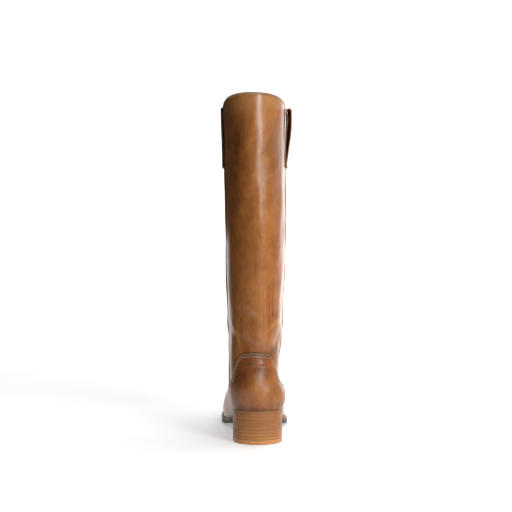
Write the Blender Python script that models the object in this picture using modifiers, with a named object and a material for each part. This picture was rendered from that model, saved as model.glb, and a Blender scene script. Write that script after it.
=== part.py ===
"""Knee-high pull-on boot with a stacked heel, for a right foot.

Metres, +Z up, +Y towards the toe, +X towards the outer side of the foot.
The origin lies on the floor, under the middle of the heel.

The leather surface is one function of two numbers. "around" runs from the back centre (0)
over the outer side (0.5) to the front centre (1) and back over the inner side (1.5, or -0.5).
"level" runs from the feather edge at the sole (0) to the collar (1).
"""

import math

import bmesh
import bpy
import numpy as np

# Foot and sole
SOLE_LENGTH = 0.2650
BALL_WIDTH = 0.0936
TOE_SPRING = 0.0085
TOE_ROUNDING = 0.0750
OUTSOLE_THICKNESS = 0.0022
HALF_SOLE_THICKNESS = 0.0030
HALF_SOLE_LENGTH = 0.1500
HALF_SOLE_SKIVE = 0.0150
INSOLE_THICKNESS = 0.0030
WELT_THICKNESS = 0.0022
WELT_MARGIN = 0.0062
WELT_LEAN = 0.0014
RAND_MARGIN = 0.0026

# Heel
HEEL_WIDTH = 0.0640
HEEL_LENGTH = 0.0600
HEEL_HEIGHT = 0.0392
HEEL_ROUNDING = 0.0290
HEEL_SETBACK = 0.0030
HEEL_LIFT_COUNT = 8
TOP_LIFT_THICKNESS = 0.0060

# Leg
SHAFT_HEIGHT = 0.3980
ANKLE_RISE = 0.0600
INSTEP_RISE = 0.1110
VAMP_TAPER_RISE = 0.0480
COUNTER_WIDTH = 0.0708
ANKLE_WIDTH = 0.0640
CALF_WIDTH = 0.0788
ANKLE_DEPTH = 0.1160
CALF_DEPTH = 0.1360
ANKLE_INSET = 0.0045
HEEL_BULGE = 0.0080
SWELL_RISE = 0.0100
CALF_SWEEP = 0.0195
SHAFT_SWAY = 0.0040
COLLAR_DIP = 0.0095

# Leather
UPPER_WALL = 0.0020
OVERLAY_THICKNESS = 0.0012
COUNTER_HEIGHT = 0.0740
COUNTER_REACH = 0.0880
VAMP_HEIGHT = 0.0840
VAMP_REACH = 0.1000
OVERLAY_END = 0.0080
STRIP_WIDTH = 0.0046
STRIP_THICKNESS = 0.0009

# Pull straps
STRAP_WIDTH = 0.0240
STRAP_THICKNESS = 0.0013
STRAP_STANDOFF_OUTER = 0.0058
STRAP_STANDOFF_INNER = 0.0002
STRAP_LENGTH = 0.0770
STRAP_BELOW_COLLAR = 0.0015

# Shares and slopes, which have no length: how far the vamp's sides lean in, how soon the shaft's
# oval reaches its full width, how much the shaft turns outwards from back to front, how evenly
# the collar dips towards its sides, how much it flares, and where the welt and the rand end.
VAMP_TAPER_SHARE = 0.20
OVAL_ROUNDING_SHARE = 0.35
SHAFT_TURN_SLOPE = 0.06
COLLAR_DIP_POWER = 1.6
RIM_FLARE_SHARE = 0.030
WELT_END_AROUND = 0.300
RAND_END_AROUND = 0.295

# Gaps between pieces that meet
CLEARANCE = 0.0003
OVERLAY_GAP = 0.0008

# Heights and places that follow from the sizes
SOLE_BACK = -HEEL_LENGTH / 2.0 - HEEL_SETBACK
SOLE_FRONT = SOLE_BACK + SOLE_LENGTH
HEEL_BREAST = SOLE_BACK + HEEL_LENGTH
SEAT_HEIGHT = HEEL_HEIGHT + OUTSOLE_THICKNESS + 2.0 * CLEARANCE
TREAD_HEIGHT = HALF_SOLE_THICKNESS + OUTSOLE_THICKNESS + 2.0 * CLEARANCE
ANKLE_HEIGHT = SEAT_HEIGHT + ANKLE_RISE
COLLAR_HEIGHT = SEAT_HEIGHT + SHAFT_HEIGHT
TOE_FEATHER = TREAD_HEIGHT + TOE_SPRING
INSTEP_HEIGHT = SEAT_HEIGHT + INSTEP_RISE
ANKLE_BACK = SOLE_BACK + ANKLE_INSET
ANKLE_FRONT = ANKLE_BACK + ANKLE_DEPTH
STACK_BASE = TOP_LIFT_THICKNESS + CLEARANCE

# The sole from above and along its length. station: share of the sole's length from the back.
# centre: sideways shift, share of the ball width. widen: 0 at the heel's width, 1 at the ball's.
# pitch: height above the tread, share of the heel seat's. spring: share of the toe spring.
# bulge: how far the leather swells over its feather edge, share of its half width there.
# margin: how far the sole stands out past the feather edge, 0 as at the rand, 1 as at the welt.
SOLE_COLUMNS = ("station", "centre", "widen", "pitch", "spring", "bulge", "margin")
SOLE_TABLE = (
    (0.000, 0.000, 0.00, 1.000, 0.00, 0.205, 0.00),
    (0.090, 0.000, 0.00, 0.955, 0.00, 0.205, 0.00),
    (0.180, 0.002, -0.02, 0.880, 0.00, 0.190, 0.05),
    (0.250, 0.009, -0.09, 0.785, 0.00, 0.170, 0.25),
    (0.340, 0.018, -0.10, 0.560, 0.00, 0.130, 0.60),
    (0.430, 0.023, 0.19, 0.305, 0.00, 0.090, 0.85),
    (0.520, 0.021, 0.63, 0.105, 0.00, 0.055, 1.00),
    (0.610, 0.012, 0.94, 0.010, 0.00, 0.042, 1.00),
    (0.680, 0.002, 1.00, -0.012, 0.00, 0.040, 1.00),
    (0.760, -0.014, 0.97, 0.000, 0.03, 0.040, 1.00),
    (0.840, -0.036, 0.92, 0.000, 0.20, 0.036, 1.00),
    (0.920, -0.062, 0.88, 0.000, 0.55, 0.034, 1.00),
    (1.000, -0.090, 0.85, 0.000, 1.00, 0.034, 1.00),
)

# The leg by height: 0 at the heel seat, 1 at the ankle, 2 at the collar.
# back: how far the back stands behind the ankle, share of the heel bulge up to 1, then of the
# calf sweep. depth: from the ankle's depth (0) to the calf's (1). flare: from the ankle's width
# (0) to the counter's (1) below the ankle, and to the calf's (1) above. sway: sideways shift.
LEG_COLUMNS = ("height", "back", "depth", "flare", "sway")
LEG_TABLE = (
    (0.00, 0.24, 0.00, 0.70, 0.00),
    (0.17, 0.76, 0.00, 1.00, 0.15),
    (0.35, 1.00, 0.00, 0.85, 0.45),
    (0.58, 0.90, 0.00, 0.02, 0.85),
    (0.80, 0.56, 0.00, -0.10, 1.00),
    (1.00, 0.20, 0.00, 0.04, 0.95),
    (1.07, 0.00, 0.00, 0.14, 0.85),
    (1.15, 0.08, 0.00, 0.32, 0.68),
    (1.30, 0.33, 0.22, 0.68, 0.54),
    (1.47, 0.64, 0.50, 0.85, 0.52),
    (1.65, 0.87, 0.78, 0.98, 0.60),
    (1.83, 0.98, 0.94, 1.00, 0.74),
    (2.00, 1.00, 1.00, 1.00, 0.85),
)

# The front line from the toe to the instep. rise: from the toe's feather edge (0) to the
# instep (1). reach: from the ankle's front (0) to the toe's feather edge (1).
FRONT_COLUMNS = ("rise", "reach")
FRONT_TABLE = (
    (0.000, 1.000),
    (0.048, 1.016),
    (0.100, 1.012),
    (0.155, 0.975),
    (0.210, 0.895),
    (0.262, 0.780),
    (0.325, 0.615),
    (0.400, 0.435),
    (0.500, 0.272),
    (0.620, 0.145),
    (0.765, 0.060),
    (0.900, 0.018),
)

# Rings round the leather. back: the leg table's height at the back. front: 0 to 1 up the front
# line, 1 to 2 from the instep to the collar. follow: how much the ring dips with the sole.
RING_COLUMNS = ("level", "back", "front", "follow")
RING_TABLE = (
    (0.00, 0.00, 0.00, 1.00),
    (0.05, 0.08, 0.05, 1.00),
    (0.12, 0.22, 0.12, 0.95),
    (0.20, 0.42, 0.20, 0.80),
    (0.28, 0.64, 0.28, 0.58),
    (0.36, 0.88, 0.38, 0.34),
    (0.43, 1.03, 0.53, 0.15),
    (0.50, 1.09, 0.78, 0.04),
    (0.57, 1.17, 1.03, 0.00),
    (0.70, 1.38, 1.30, 0.00),
    (0.85, 1.69, 1.65, 0.00),
    (1.00, 2.00, 2.00, 0.00),
)

# Top edge of the counter: share of its reach round the heel, share of its height at the back.
COUNTER_COLUMNS = ("reach", "height")
COUNTER_TABLE = (
    (0.00, 1.00),
    (0.18, 0.985),
    (0.30, 0.955),
    (0.36, 0.88),
    (0.42, 0.71),
    (0.50, 0.55),
    (0.62, 0.43),
    (0.80, 0.22),
    (1.00, -0.04),
)

# Top edge of the vamp: share of its reach from the front, share of its height at the instep.
VAMP_COLUMNS = ("reach", "height")
VAMP_TABLE = (
    (0.00, 1.00),
    (0.15, 0.94),
    (0.32, 0.74),
    (0.50, 0.50),
    (0.70, 0.26),
    (0.88, 0.07),
    (1.00, -0.04),
)

# Path of the side seams: down the middle of the shaft, then a little back over the ankle.
SEAM_COLUMNS = ("level", "around")
SEAM_TABLE = (
    (0.00, 0.325),
    (0.20, 0.345),
    (0.36, 0.405),
    (0.50, 0.480),
    (0.60, 0.500),
    (1.00, 0.500),
)

# Outer leg of a pull strap. drop: share of the strap's length from its top fold. out: share of
# its full stand-off, with 0 where both legs are sewn down together.
STRAP_COLUMNS = ("drop", "out")
STRAP_TABLE = (
    (0.06, 0.98),
    (0.20, 1.00),
    (0.36, 0.97),
    (0.54, 0.73),
    (0.71, 0.44),
    (0.86, 0.16),
    (0.94, 0.02),
    (1.00, 0.02),
)

# Colours
TAN = (0.36, 0.16, 0.05)
DARK_TAN = (0.20, 0.09, 0.03)
HEEL_TAN = (0.45, 0.25, 0.11)
PALE = (0.62, 0.47, 0.30)
RUBBER = (0.06, 0.05, 0.045)

# Mesh density
RINGS_FOOT = 23
RINGS_SHAFT = 6
FOOT_TOP_LEVEL = 0.57
SHAFT_LEVEL = 0.85
COLUMNS_AROUND = 48
SLAB_STATIONS = 30
HEEL_STATIONS = 12
TOE_STATIONS = 18
STRIP_ROWS = 18
STRAP_ROWS = 12
FOLD_ROWS = 7
WELT_SECTIONS = 49
RAND_SECTIONS = 21
STEP = 0.002


def column(table, names, name):
    """Return one named column of a table as an array."""
    return np.array([row[names.index(name)] for row in table])


def spline(at, knots, values):
    """Smooth curve through the knots, with free ends and straight beyond them."""
    at = np.asarray(at, dtype=float)
    gaps = np.diff(knots)
    slopes = np.diff(values) / gaps
    count = len(knots)
    matrix = np.eye(count)
    right = np.zeros(count)
    for i in range(1, count - 1):
        matrix[i, i - 1] = gaps[i - 1]
        matrix[i, i] = 2.0 * (gaps[i - 1] + gaps[i])
        matrix[i, i + 1] = gaps[i]
        right[i] = 6.0 * (slopes[i] - slopes[i - 1])
    bend = np.linalg.solve(matrix, right)
    inside = np.clip(at, knots[0], knots[-1])
    k = np.clip(np.searchsorted(knots, inside, side="right") - 1, 0, count - 2)
    gap = gaps[k]
    t = (inside - knots[k]) / gap
    curve = (1.0 - t) * values[k] + t * values[k + 1]
    curve = curve + gap ** 2 / 6.0 * (((1.0 - t) ** 3 - (1.0 - t)) * bend[k] + (t ** 3 - t) * bend[k + 1])
    first = slopes[0] - gaps[0] * bend[1] / 6.0
    last = slopes[-1] + gaps[-1] * bend[-2] / 6.0
    return curve + np.minimum(at - knots[0], 0.0) * first + np.maximum(at - knots[-1], 0.0) * last


def ease(at, low, high):
    """Rise smoothly from 0 at low to 1 at high."""
    t = np.clip((at - low) / (high - low), 0.0, 1.0)
    return t * t * (3.0 - 2.0 * t)


def mix(a, b, share):
    """Blend from a (0) to b (1)."""
    return a + (b - a) * share


def round_end(distance, length):
    """Share of the full width at a distance from a rounded end."""
    t = np.maximum(distance, 0.0) / length
    return np.sqrt(1.0 - np.exp(-2.0 * t - t * t))


FULL_OVAL = float(round_end(0.5, OVAL_ROUNDING_SHARE)) ** 2


def sole_value(y, name):
    """Read one column of the sole table at a place along the foot."""
    station = (np.asarray(y, dtype=float) - SOLE_BACK) / SOLE_LENGTH
    knots = column(SOLE_TABLE, SOLE_COLUMNS, "station")
    return spline(station, knots, column(SOLE_TABLE, SOLE_COLUMNS, name))


def feather(y):
    """Height of the feather edge, where the leather meets the sole."""
    lift = sole_value(y, "pitch") * (SEAT_HEIGHT - TREAD_HEIGHT)
    return TREAD_HEIGHT + lift + np.maximum(sole_value(y, "spring"), 0.0) * TOE_SPRING


def sole_middle(y):
    """Sideways place of the middle of the sole."""
    return sole_value(y, "centre") * BALL_WIDTH


def foot_middle(y):
    """Sideways place of the middle of the foot, which leans towards the inner side."""
    return sole_middle(y) - WELT_LEAN * sole_value(y, "margin")


def sole_half_width(y):
    """Half width of the sole before its ends are rounded."""
    return (HEEL_WIDTH + sole_value(y, "widen") * (BALL_WIDTH - HEEL_WIDTH)) / 2.0


def sole_margin(y):
    """How far the sole stands out past the feather edge."""
    return mix(RAND_MARGIN, WELT_MARGIN, np.clip(sole_value(y, "margin"), 0.0, 1.0))


def leg_height(share):
    """Height above the floor of a share of the leg: 1 at the ankle, 2 at the collar."""
    below = np.minimum(share, 1.0) * (ANKLE_HEIGHT - SEAT_HEIGHT)
    above = np.maximum(np.asarray(share) - 1.0, 0.0) * (COLLAR_HEIGHT - ANKLE_HEIGHT)
    return SEAT_HEIGHT + below + above


def front_height(share):
    """Height above the floor of a share of the front: 1 at the instep, 2 at the collar."""
    below = np.minimum(share, 1.0) * (INSTEP_HEIGHT - TOE_FEATHER)
    above = np.maximum(np.asarray(share) - 1.0, 0.0) * (COLLAR_HEIGHT - INSTEP_HEIGHT)
    return TOE_FEATHER + below + above


def leg_value(z, name):
    """Read one column of the leg table at a height."""
    knots = leg_height(column(LEG_TABLE, LEG_COLUMNS, "height"))
    return spline(z, knots, column(LEG_TABLE, LEG_COLUMNS, name))


def leg_backs():
    """Place of the back of the leg at each row of its table."""
    height = column(LEG_TABLE, LEG_COLUMNS, "height")
    size = np.where(height > 1.03, CALF_SWEEP, HEEL_BULGE)
    return ANKLE_BACK - column(LEG_TABLE, LEG_COLUMNS, "back") * size


def back_line(z):
    """Place of the back centre at a height."""
    return spline(z, leg_height(column(LEG_TABLE, LEG_COLUMNS, "height")), leg_backs())


def leg_depth(z):
    """Front to back size of the shaft at a height."""
    return mix(ANKLE_DEPTH, CALF_DEPTH, leg_value(z, "depth"))


def front_line(z):
    """Place of the front centre at a height, from the toe up to the collar."""
    toe = SOLE_FRONT - WELT_MARGIN
    low_z = front_height(column(FRONT_TABLE, FRONT_COLUMNS, "rise"))
    low_y = mix(ANKLE_FRONT, toe, column(FRONT_TABLE, FRONT_COLUMNS, "reach"))
    height = column(LEG_TABLE, LEG_COLUMNS, "height")
    shaft = height > 1.2
    high_z = leg_height(height[shaft])
    high_y = leg_backs()[shaft] + leg_depth(high_z)
    return spline(z, np.concatenate((low_z, high_z)), np.concatenate((low_y, high_y)))


def leg_half_width(z):
    """Half width of the leg at a height."""
    flare = leg_value(z, "flare")
    wide = np.where(z < ANKLE_HEIGHT, COUNTER_WIDTH, CALF_WIDTH)
    return mix(ANKLE_WIDTH, wide, flare) / 2.0


def leather(around, level):
    """Point of the leather's outer face. The path of a ring runs from the back line to the
    front line; its width is the foot's plan width low down and the leg's above, rounded at
    both ends."""
    around, level = np.broadcast_arrays(np.asarray(around, float), np.asarray(level, float))
    levels = column(RING_TABLE, RING_COLUMNS, "level")
    z_back = spline(level, levels, leg_height(column(RING_TABLE, RING_COLUMNS, "back")))
    z_front = spline(level, levels, front_height(column(RING_TABLE, RING_COLUMNS, "front")))
    follow = spline(level, levels, column(RING_TABLE, RING_COLUMNS, "follow"))
    share = (1.0 - np.cos(math.pi * around)) / 2.0
    y_back = back_line(z_back)
    y_front = front_line(z_front)
    y = mix(y_back, y_front, share)
    dip = follow * (feather(y) - mix(feather(y_back), feather(y_front), share))
    sag = COLLAR_DIP * ease(level, 0.86, 1.0) * (4.0 * share * (1.0 - share)) ** COLLAR_DIP_POWER
    z = mix(z_back, z_front, share) + dip - sag
    ahead = ease(y, HEEL_BREAST, ANKLE_FRONT + 0.25 * ANKLE_DEPTH)
    start = SEAT_HEIGHT + mix(0.15, 0.45, ahead) * ANKLE_RISE
    leg = ease(z, start, start + mix(0.45, 0.60, ahead) * ANKLE_RISE)
    oval = ease(z, ANKLE_HEIGHT - 0.1 * ANKLE_RISE, INSTEP_HEIGHT)
    swell = 1.0 + sole_value(y, "bulge") * np.tanh((z - feather(y)) / SWELL_RISE)
    taper = VAMP_TAPER_SHARE * ahead * ease(z - feather(y) - SWELL_RISE, 0.0, VAMP_TAPER_RISE)
    low = (sole_half_width(y) - sole_margin(y)) * swell * (1.0 - taper)
    high = leg_half_width(z) / mix(1.0, FULL_OVAL, oval)
    half = mix(low, high, leg) * (1.0 + RIM_FLARE_SHARE * ease(level, 0.90, 1.0))
    rounding = leg_depth(z) * OVAL_ROUNDING_SHARE
    half = half * round_end(y - back_line(z), mix(HEEL_ROUNDING, rounding, oval))
    half = half * round_end(front_line(z) - y, mix(TOE_ROUNDING, rounding, oval))
    turn = SHAFT_TURN_SLOPE * ease(z, INSTEP_HEIGHT, COLLAR_HEIGHT) * (y - mix(y_back, y_front, 0.5))
    middle = mix(foot_middle(y), turn - SHAFT_SWAY * leg_value(z, "sway"), leg)
    x = middle + np.sign(np.sin(math.pi * around)) * half
    return np.stack((x, y, z), axis=-1)


def leather_offset(around, level, distance):
    """Point at a distance out from the leather's outer face, negative for inwards."""
    around, level = np.broadcast_arrays(np.asarray(around, float), np.asarray(level, float))
    along = leather(around + STEP, level) - leather(around - STEP, level)
    low = np.maximum(level - STEP, 0.0)
    high = np.minimum(level + STEP, 1.0)
    up = leather(around, high) - leather(around, low)
    normal = np.cross(along, up)
    normal = normal / np.linalg.norm(normal, axis=-1, keepdims=True)
    return leather(around, level) + normal * np.asarray(distance)[..., None]


def level_at(around, height):
    """Level at which the leather reaches a height, for each place around."""
    levels = np.linspace(0.0, 1.0, 401)
    found = []
    for a, h in zip(np.ravel(around), np.ravel(height)):
        found.append(np.interp(h, leather(a, levels)[:, 2], levels))
    return np.array(found)


def around_at(y, level):
    """Place around at which a ring reaches a distance along the foot, on the outer side."""
    places = np.linspace(0.0, 1.0, 401)
    return float(np.interp(y, leather(places, level)[:, 1], places))


def add_mesh(name, points, faces, colour, roughness):
    """Make a named object with its own material from points and faces."""
    mesh = bpy.data.meshes.new(name)
    mesh.from_pydata([tuple(p) for p in points], [], faces)
    mesh.validate()
    shell = bmesh.new()
    shell.from_mesh(mesh)
    bmesh.ops.remove_doubles(shell, verts=shell.verts, dist=0.00001)
    shell.to_mesh(mesh)
    shell.free()
    mesh.shade_smooth()
    mesh.set_sharp_from_angle(angle=math.radians(35.0))
    material = bpy.data.materials.new(name + "_finish")
    material.use_nodes = True
    shader = material.node_tree.nodes["Principled BSDF"]
    shader.inputs["Base Color"].default_value = (*colour, 1.0)
    shader.inputs["Roughness"].default_value = roughness
    shader.inputs["Metallic"].default_value = 0.0
    mesh.materials.append(material)
    piece = bpy.data.objects.new(name, mesh)
    boot.objects.link(piece)
    return piece


def thicken(piece, thickness, side):
    """Give an open surface its wall: side -1 grows inwards, 1 outwards, 0 both ways."""
    wall = piece.modifiers.new("wall", "SOLIDIFY")
    wall.thickness = thickness
    wall.offset = side
    wall.use_even_offset = False
    wall.use_quality_normals = True
    return piece


def sheet_faces(rows, columns, closed=False):
    """Faces of a grid of points, row after row; closed joins the last column to the first."""
    faces = []
    for j in range(rows - 1):
        for i in range(columns if closed else columns - 1):
            k = (i + 1) % columns
            faces.append((j * columns + i, j * columns + k, (j + 1) * columns + k, (j + 1) * columns + i))
    return faces


def loft_faces(sections, points_each):
    """Faces of closed sections in a row, with both ends capped."""
    faces = []
    for j in range(sections - 1):
        for i in range(points_each):
            k = (i + 1) % points_each
            a = j * points_each
            b = a + points_each
            faces.append((a + i, b + i, b + k, a + k))
    faces.append(tuple(range(points_each)))
    faces.append(tuple(reversed(range((sections - 1) * points_each, sections * points_each))))
    return faces


def full_length(back, front):
    """Stations from end to end of the foot, closer together at its rounded ends."""
    return mix(back, front, (1.0 - np.cos(math.pi * np.linspace(0.03, 0.97, SLAB_STATIONS))) / 2.0)


def heel_length():
    """Stations from the back of the heel to its straight breast."""
    return mix(SOLE_BACK, HEEL_BREAST, 1.0 - np.cos(math.pi * np.linspace(0.03, 0.5, HEEL_STATIONS)))


def toe_length(start):
    """Stations from a straight edge across the sole to the toe."""
    return mix(start, SOLE_FRONT, -np.cos(math.pi * np.linspace(0.5, 0.97, TOE_STATIONS)))


def make_slab(name, y, middle, inset, top, bottom, colour, roughness):
    """Make a layer of the sole through stations y: its outline set in from the sole's, its
    two faces following heights along the foot."""
    half = sole_half_width(y) - inset(y)
    half = half * round_end(y - SOLE_BACK - inset(SOLE_BACK), HEEL_ROUNDING)
    half = half * round_end(SOLE_FRONT - inset(SOLE_FRONT) - y, TOE_ROUNDING)
    corners = (
        (middle(y) + half, y, bottom),
        (middle(y) + half, y, top),
        (middle(y) - half, y, top),
        (middle(y) - half, y, bottom),
    )
    points = np.stack([np.stack(c, axis=-1) for c in corners], axis=1).reshape(-1, 3)
    return add_mesh(name, points, loft_faces(len(y), 4), colour, roughness)


def flush(y):
    """Inset of a layer whose edge is the sole's own edge."""
    return 0.0 * y


def inside_upper(y):
    """Inset of the insole, which lies within the upper's wall."""
    return sole_margin(y) + UPPER_WALL + 3.0 * CLEARANCE


def outsole_under(y):
    """Height of the outsole's underside."""
    return feather(y) - CLEARANCE - OUTSOLE_THICKNESS


def ring_levels():
    """Levels of the upper's rings, closer together round the foot and ankle."""
    foot = np.linspace(0.0, FOOT_TOP_LEVEL, RINGS_FOOT)
    shaft = np.linspace(FOOT_TOP_LEVEL, 1.0, RINGS_SHAFT + 1)[1:]
    return np.concatenate((foot, shaft))


def make_upper():
    """Make the hollow upper: one wall from the feather edge to the collar."""
    levels = ring_levels()[:, None]
    around = (np.arange(COLUMNS_AROUND) * 2.0 / COLUMNS_AROUND)[None, :]
    points = leather(around, levels).reshape(-1, 3)
    faces = sheet_faces(len(levels), COLUMNS_AROUND, closed=True)
    return thicken(add_mesh("upper", points, faces, TAN, 0.32), UPPER_WALL, -1.0)


def make_overlay(name, middle, reach, edge):
    """Make an overlay from above the welt up to its own top edge, laid on the leather along
    the same columns and rings as the upper."""
    pitch = 2.0 / COLUMNS_AROUND
    steps = np.arange(math.floor((reach - pitch / 3.0) / pitch) + 1) * pitch
    half = np.append(steps, reach)
    offset = np.concatenate((-half[:0:-1], half))
    around = middle + offset
    foot = leather(around, 0.0)[:, 2]
    low = level_at(around, foot + WELT_THICKNESS + 0.5 * OVERLAY_THICKNESS + 2.0 * CLEARANCE)
    top = level_at(around, edge(np.abs(offset) / reach, around))
    rings = ring_levels()
    rings = rings[(rings > low.min()) & (rings < top.max())]
    rings = np.concatenate(((0.0,), rings, (1.0,)))
    levels = np.clip(rings[:, None], low[None, :], top[None, :])
    points = leather_offset(np.broadcast_to(around, levels.shape), levels, OVERLAY_GAP)
    faces = sheet_faces(len(rings), len(around))
    return thicken(add_mesh(name, points.reshape(-1, 3), faces, TAN, 0.32), OVERLAY_THICKNESS, 1.0)


def counter_edge(share, around):
    """Height of the counter's top edge."""
    foot = leather(around, 0.0)[:, 2]
    rise = column(COUNTER_TABLE, COUNTER_COLUMNS, "height")
    height = spline(share, column(COUNTER_TABLE, COUNTER_COLUMNS, "reach"), rise)
    return np.maximum(SEAT_HEIGHT + height * COUNTER_HEIGHT, foot + OVERLAY_END)


def vamp_edge(share, around):
    """Height of the vamp's top edge."""
    foot = leather(around, 0.0)[:, 2]
    rise = column(VAMP_TABLE, VAMP_COLUMNS, "height")
    height = spline(share, column(VAMP_TABLE, VAMP_COLUMNS, "reach"), rise)
    return np.maximum(SEAT_HEIGHT + height * VAMP_HEIGHT, foot + OVERLAY_END)


def make_strip(name, side):
    """Make the seam strip down one side, from the foot of the pull strap to the counter."""
    reach = around_at(SOLE_BACK + COUNTER_REACH, 0.0)
    levels = np.linspace(0.1, 1.0, 301)
    middle = seam_place(levels)
    height = leather(middle, levels)[:, 2]
    low = levels[np.argmax(height - counter_edge(middle / reach, middle) > STRIP_WIDTH)]
    foot_of_strap = height[-1] - STRAP_BELOW_COLLAR - STRAP_LENGTH
    high = float(np.interp(foot_of_strap - STRIP_THICKNESS, height, levels))
    levels = np.linspace(low, high, STRIP_ROWS)
    middle = seam_place(levels)
    girth = np.linalg.norm(leather(middle + STEP, levels) - leather(middle - STEP, levels), axis=-1)
    half = STRIP_WIDTH / 2.0 / girth * 2.0 * STEP
    across = np.array((-1.0, 0.0, 1.0))[None, :]
    around = side * (middle[:, None] + side * across * half[:, None])
    points = leather_offset(around, np.broadcast_to(levels[:, None], around.shape), OVERLAY_GAP)
    faces = sheet_faces(len(levels), 3)
    return thicken(add_mesh(name, points.reshape(-1, 3), faces, TAN, 0.34), STRIP_THICKNESS, 1.0)


def seam_place(level):
    """Place around of the side seam: the middle of the shaft, further back down the foot."""
    knots = column(SEAM_TABLE, SEAM_COLUMNS, "level")
    return spline(level, knots, column(SEAM_TABLE, SEAM_COLUMNS, "around"))


def make_pull_strap(name, side, standoff):
    """Make a pull strap: a strip folded into a loop, its legs sewn to the shaft at the foot
    of the loop and its fold just below the collar."""
    fold = (STRAP_THICKNESS + CLEARANCE + standoff) / 2.0
    top = -STRAP_BELOW_COLLAR - STRAP_THICKNESS / 2.0 - fold
    end = -STRAP_BELOW_COLLAR - STRAP_LENGTH
    lie = OVERLAY_GAP + STRAP_THICKNESS / 2.0
    turn = np.linspace(0.0, math.pi, FOLD_ROWS)
    outer_up = np.linspace(top, end, STRAP_ROWS)[1:]
    drop = (-STRAP_BELOW_COLLAR - outer_up) / STRAP_LENGTH
    knots = column(STRAP_TABLE, STRAP_COLUMNS, "drop")
    stand = spline(drop, knots, column(STRAP_TABLE, STRAP_COLUMNS, "out"))
    outer_out = lie + STRAP_THICKNESS + CLEARANCE + standoff * stand
    inner_up = np.linspace(end, top, STRAP_ROWS)[:-1]
    out = np.concatenate((np.full(STRAP_ROWS - 1, lie), lie + fold - fold * np.cos(turn), outer_out))
    up = np.concatenate((inner_up, top + fold * np.sin(turn), outer_up))
    across = np.array((-0.5, 0.0, 0.5)) * STRAP_WIDTH / strap_girth(side)
    around, rise = np.meshgrid(side * 0.5 + across, up)
    span = COLLAR_HEIGHT - leather(side * 0.5, SHAFT_LEVEL)[2]
    levels = 1.0 + rise / span * (1.0 - SHAFT_LEVEL)
    points = leather(around, levels)
    points[..., 2] = leather(around, 1.0)[..., 2] + rise
    ahead = leather(around + STEP, 1.0) - leather(around - STEP, 1.0)
    ahead[..., 2] = 0.0
    normal = np.cross(ahead, np.array((0.0, 0.0, 1.0)))
    normal = normal / np.linalg.norm(normal, axis=-1, keepdims=True)
    points = points + normal * np.broadcast_to(out[:, None], up.shape + (3,))[..., None]
    faces = sheet_faces(len(up), 3)
    return thicken(add_mesh(name, points.reshape(-1, 3), faces, DARK_TAN, 0.4), STRAP_THICKNESS, 0.0)


def strap_girth(side):
    """Distance along the collar for one unit of around, at the side of the shaft."""
    ends = leather(np.array((side * 0.5 - STEP, side * 0.5 + STEP)), 1.0)
    return float(np.linalg.norm(ends[1] - ends[0])) / (2.0 * STEP)


def make_edge_strip(name, start, end, sections):
    """Make a strip round the foot's edge on the outsole: the welt, or the rand at the heel."""
    around = np.linspace(start, end, sections)
    low_in = leather_offset(around, 0.0, OVERLAY_GAP)
    foot = feather(low_in[:, 1])
    top_level = level_at(around, leather(around, 0.0)[:, 2] + WELT_THICKNESS)
    high_in = leather_offset(around, top_level, OVERLAY_GAP)
    edge = sole_edge(around)
    heights = feather(edge[:, 1])
    low_in[:, 2] = foot
    high_in[:, 2] = foot + WELT_THICKNESS
    low_out = np.column_stack((edge, heights))
    high_out = np.column_stack((edge, heights + WELT_THICKNESS))
    points = np.stack((low_in, low_out, high_out, high_in), axis=1).reshape(-1, 3)
    return add_mesh(name, points, loft_faces(sections, 4), HEEL_TAN, 0.55)


def sole_edge(around):
    """Outline of the sole from above, at a place around."""
    share = (1.0 - np.cos(math.pi * around)) / 2.0
    y = mix(SOLE_BACK, SOLE_FRONT, share)
    half = sole_half_width(y) * round_end(y - SOLE_BACK, HEEL_ROUNDING)
    half = half * round_end(SOLE_FRONT - y, TOE_ROUNDING)
    return np.column_stack((sole_middle(y) + np.sign(np.sin(math.pi * around)) * half, y))


def make_sole():
    """Make the insole, the outsole and the rubber half sole, flat where it stands."""
    y = full_length(SOLE_BACK + inside_upper(SOLE_BACK), SOLE_FRONT - inside_upper(SOLE_FRONT))
    top = feather(y) + INSOLE_THICKNESS
    make_slab("insole", y, foot_middle, inside_upper, top, feather(y), PALE, 0.7)
    y = full_length(SOLE_BACK, SOLE_FRONT)
    top = feather(y) - CLEARANCE
    make_slab("outsole", y, sole_middle, flush, top, outsole_under(y), HEEL_TAN, 0.55)
    start = SOLE_FRONT - HALF_SOLE_LENGTH
    y = toe_length(start)
    top = outsole_under(y) - CLEARANCE
    skive = mix(0.35, 1.0, ease(y, start, start + HALF_SOLE_SKIVE))
    bottom = np.maximum(top - HALF_SOLE_THICKNESS * skive, 0.0)
    make_slab("half_sole", y, sole_middle, flush, top, bottom, RUBBER, 0.6)


def make_heel():
    """Make the stacked heel: leather lifts over a top lift that stands on the floor."""
    y = heel_length()
    stack_top = outsole_under(y) - CLEARANCE
    for i in range(HEEL_LIFT_COUNT):
        low = mix(STACK_BASE, stack_top, i / HEEL_LIFT_COUNT)
        high = mix(STACK_BASE, stack_top, (i + 1) / HEEL_LIFT_COUNT)
        if i < HEEL_LIFT_COUNT - 1:
            high = high - CLEARANCE
        make_slab(f"heel_lift_{i + 1}", y, sole_middle, flush, high, low, HEEL_TAN, 0.5)
    make_slab("top_lift", y, sole_middle, flush, 0.0 * y + TOP_LIFT_THICKNESS, 0.0 * y, HEEL_TAN, 0.6)


for leftover in list(bpy.data.objects):
    bpy.data.objects.remove(leftover, do_unlink=True)

boot = bpy.data.collections.new("knee_high_boot")
bpy.context.scene.collection.children.link(boot)

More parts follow.
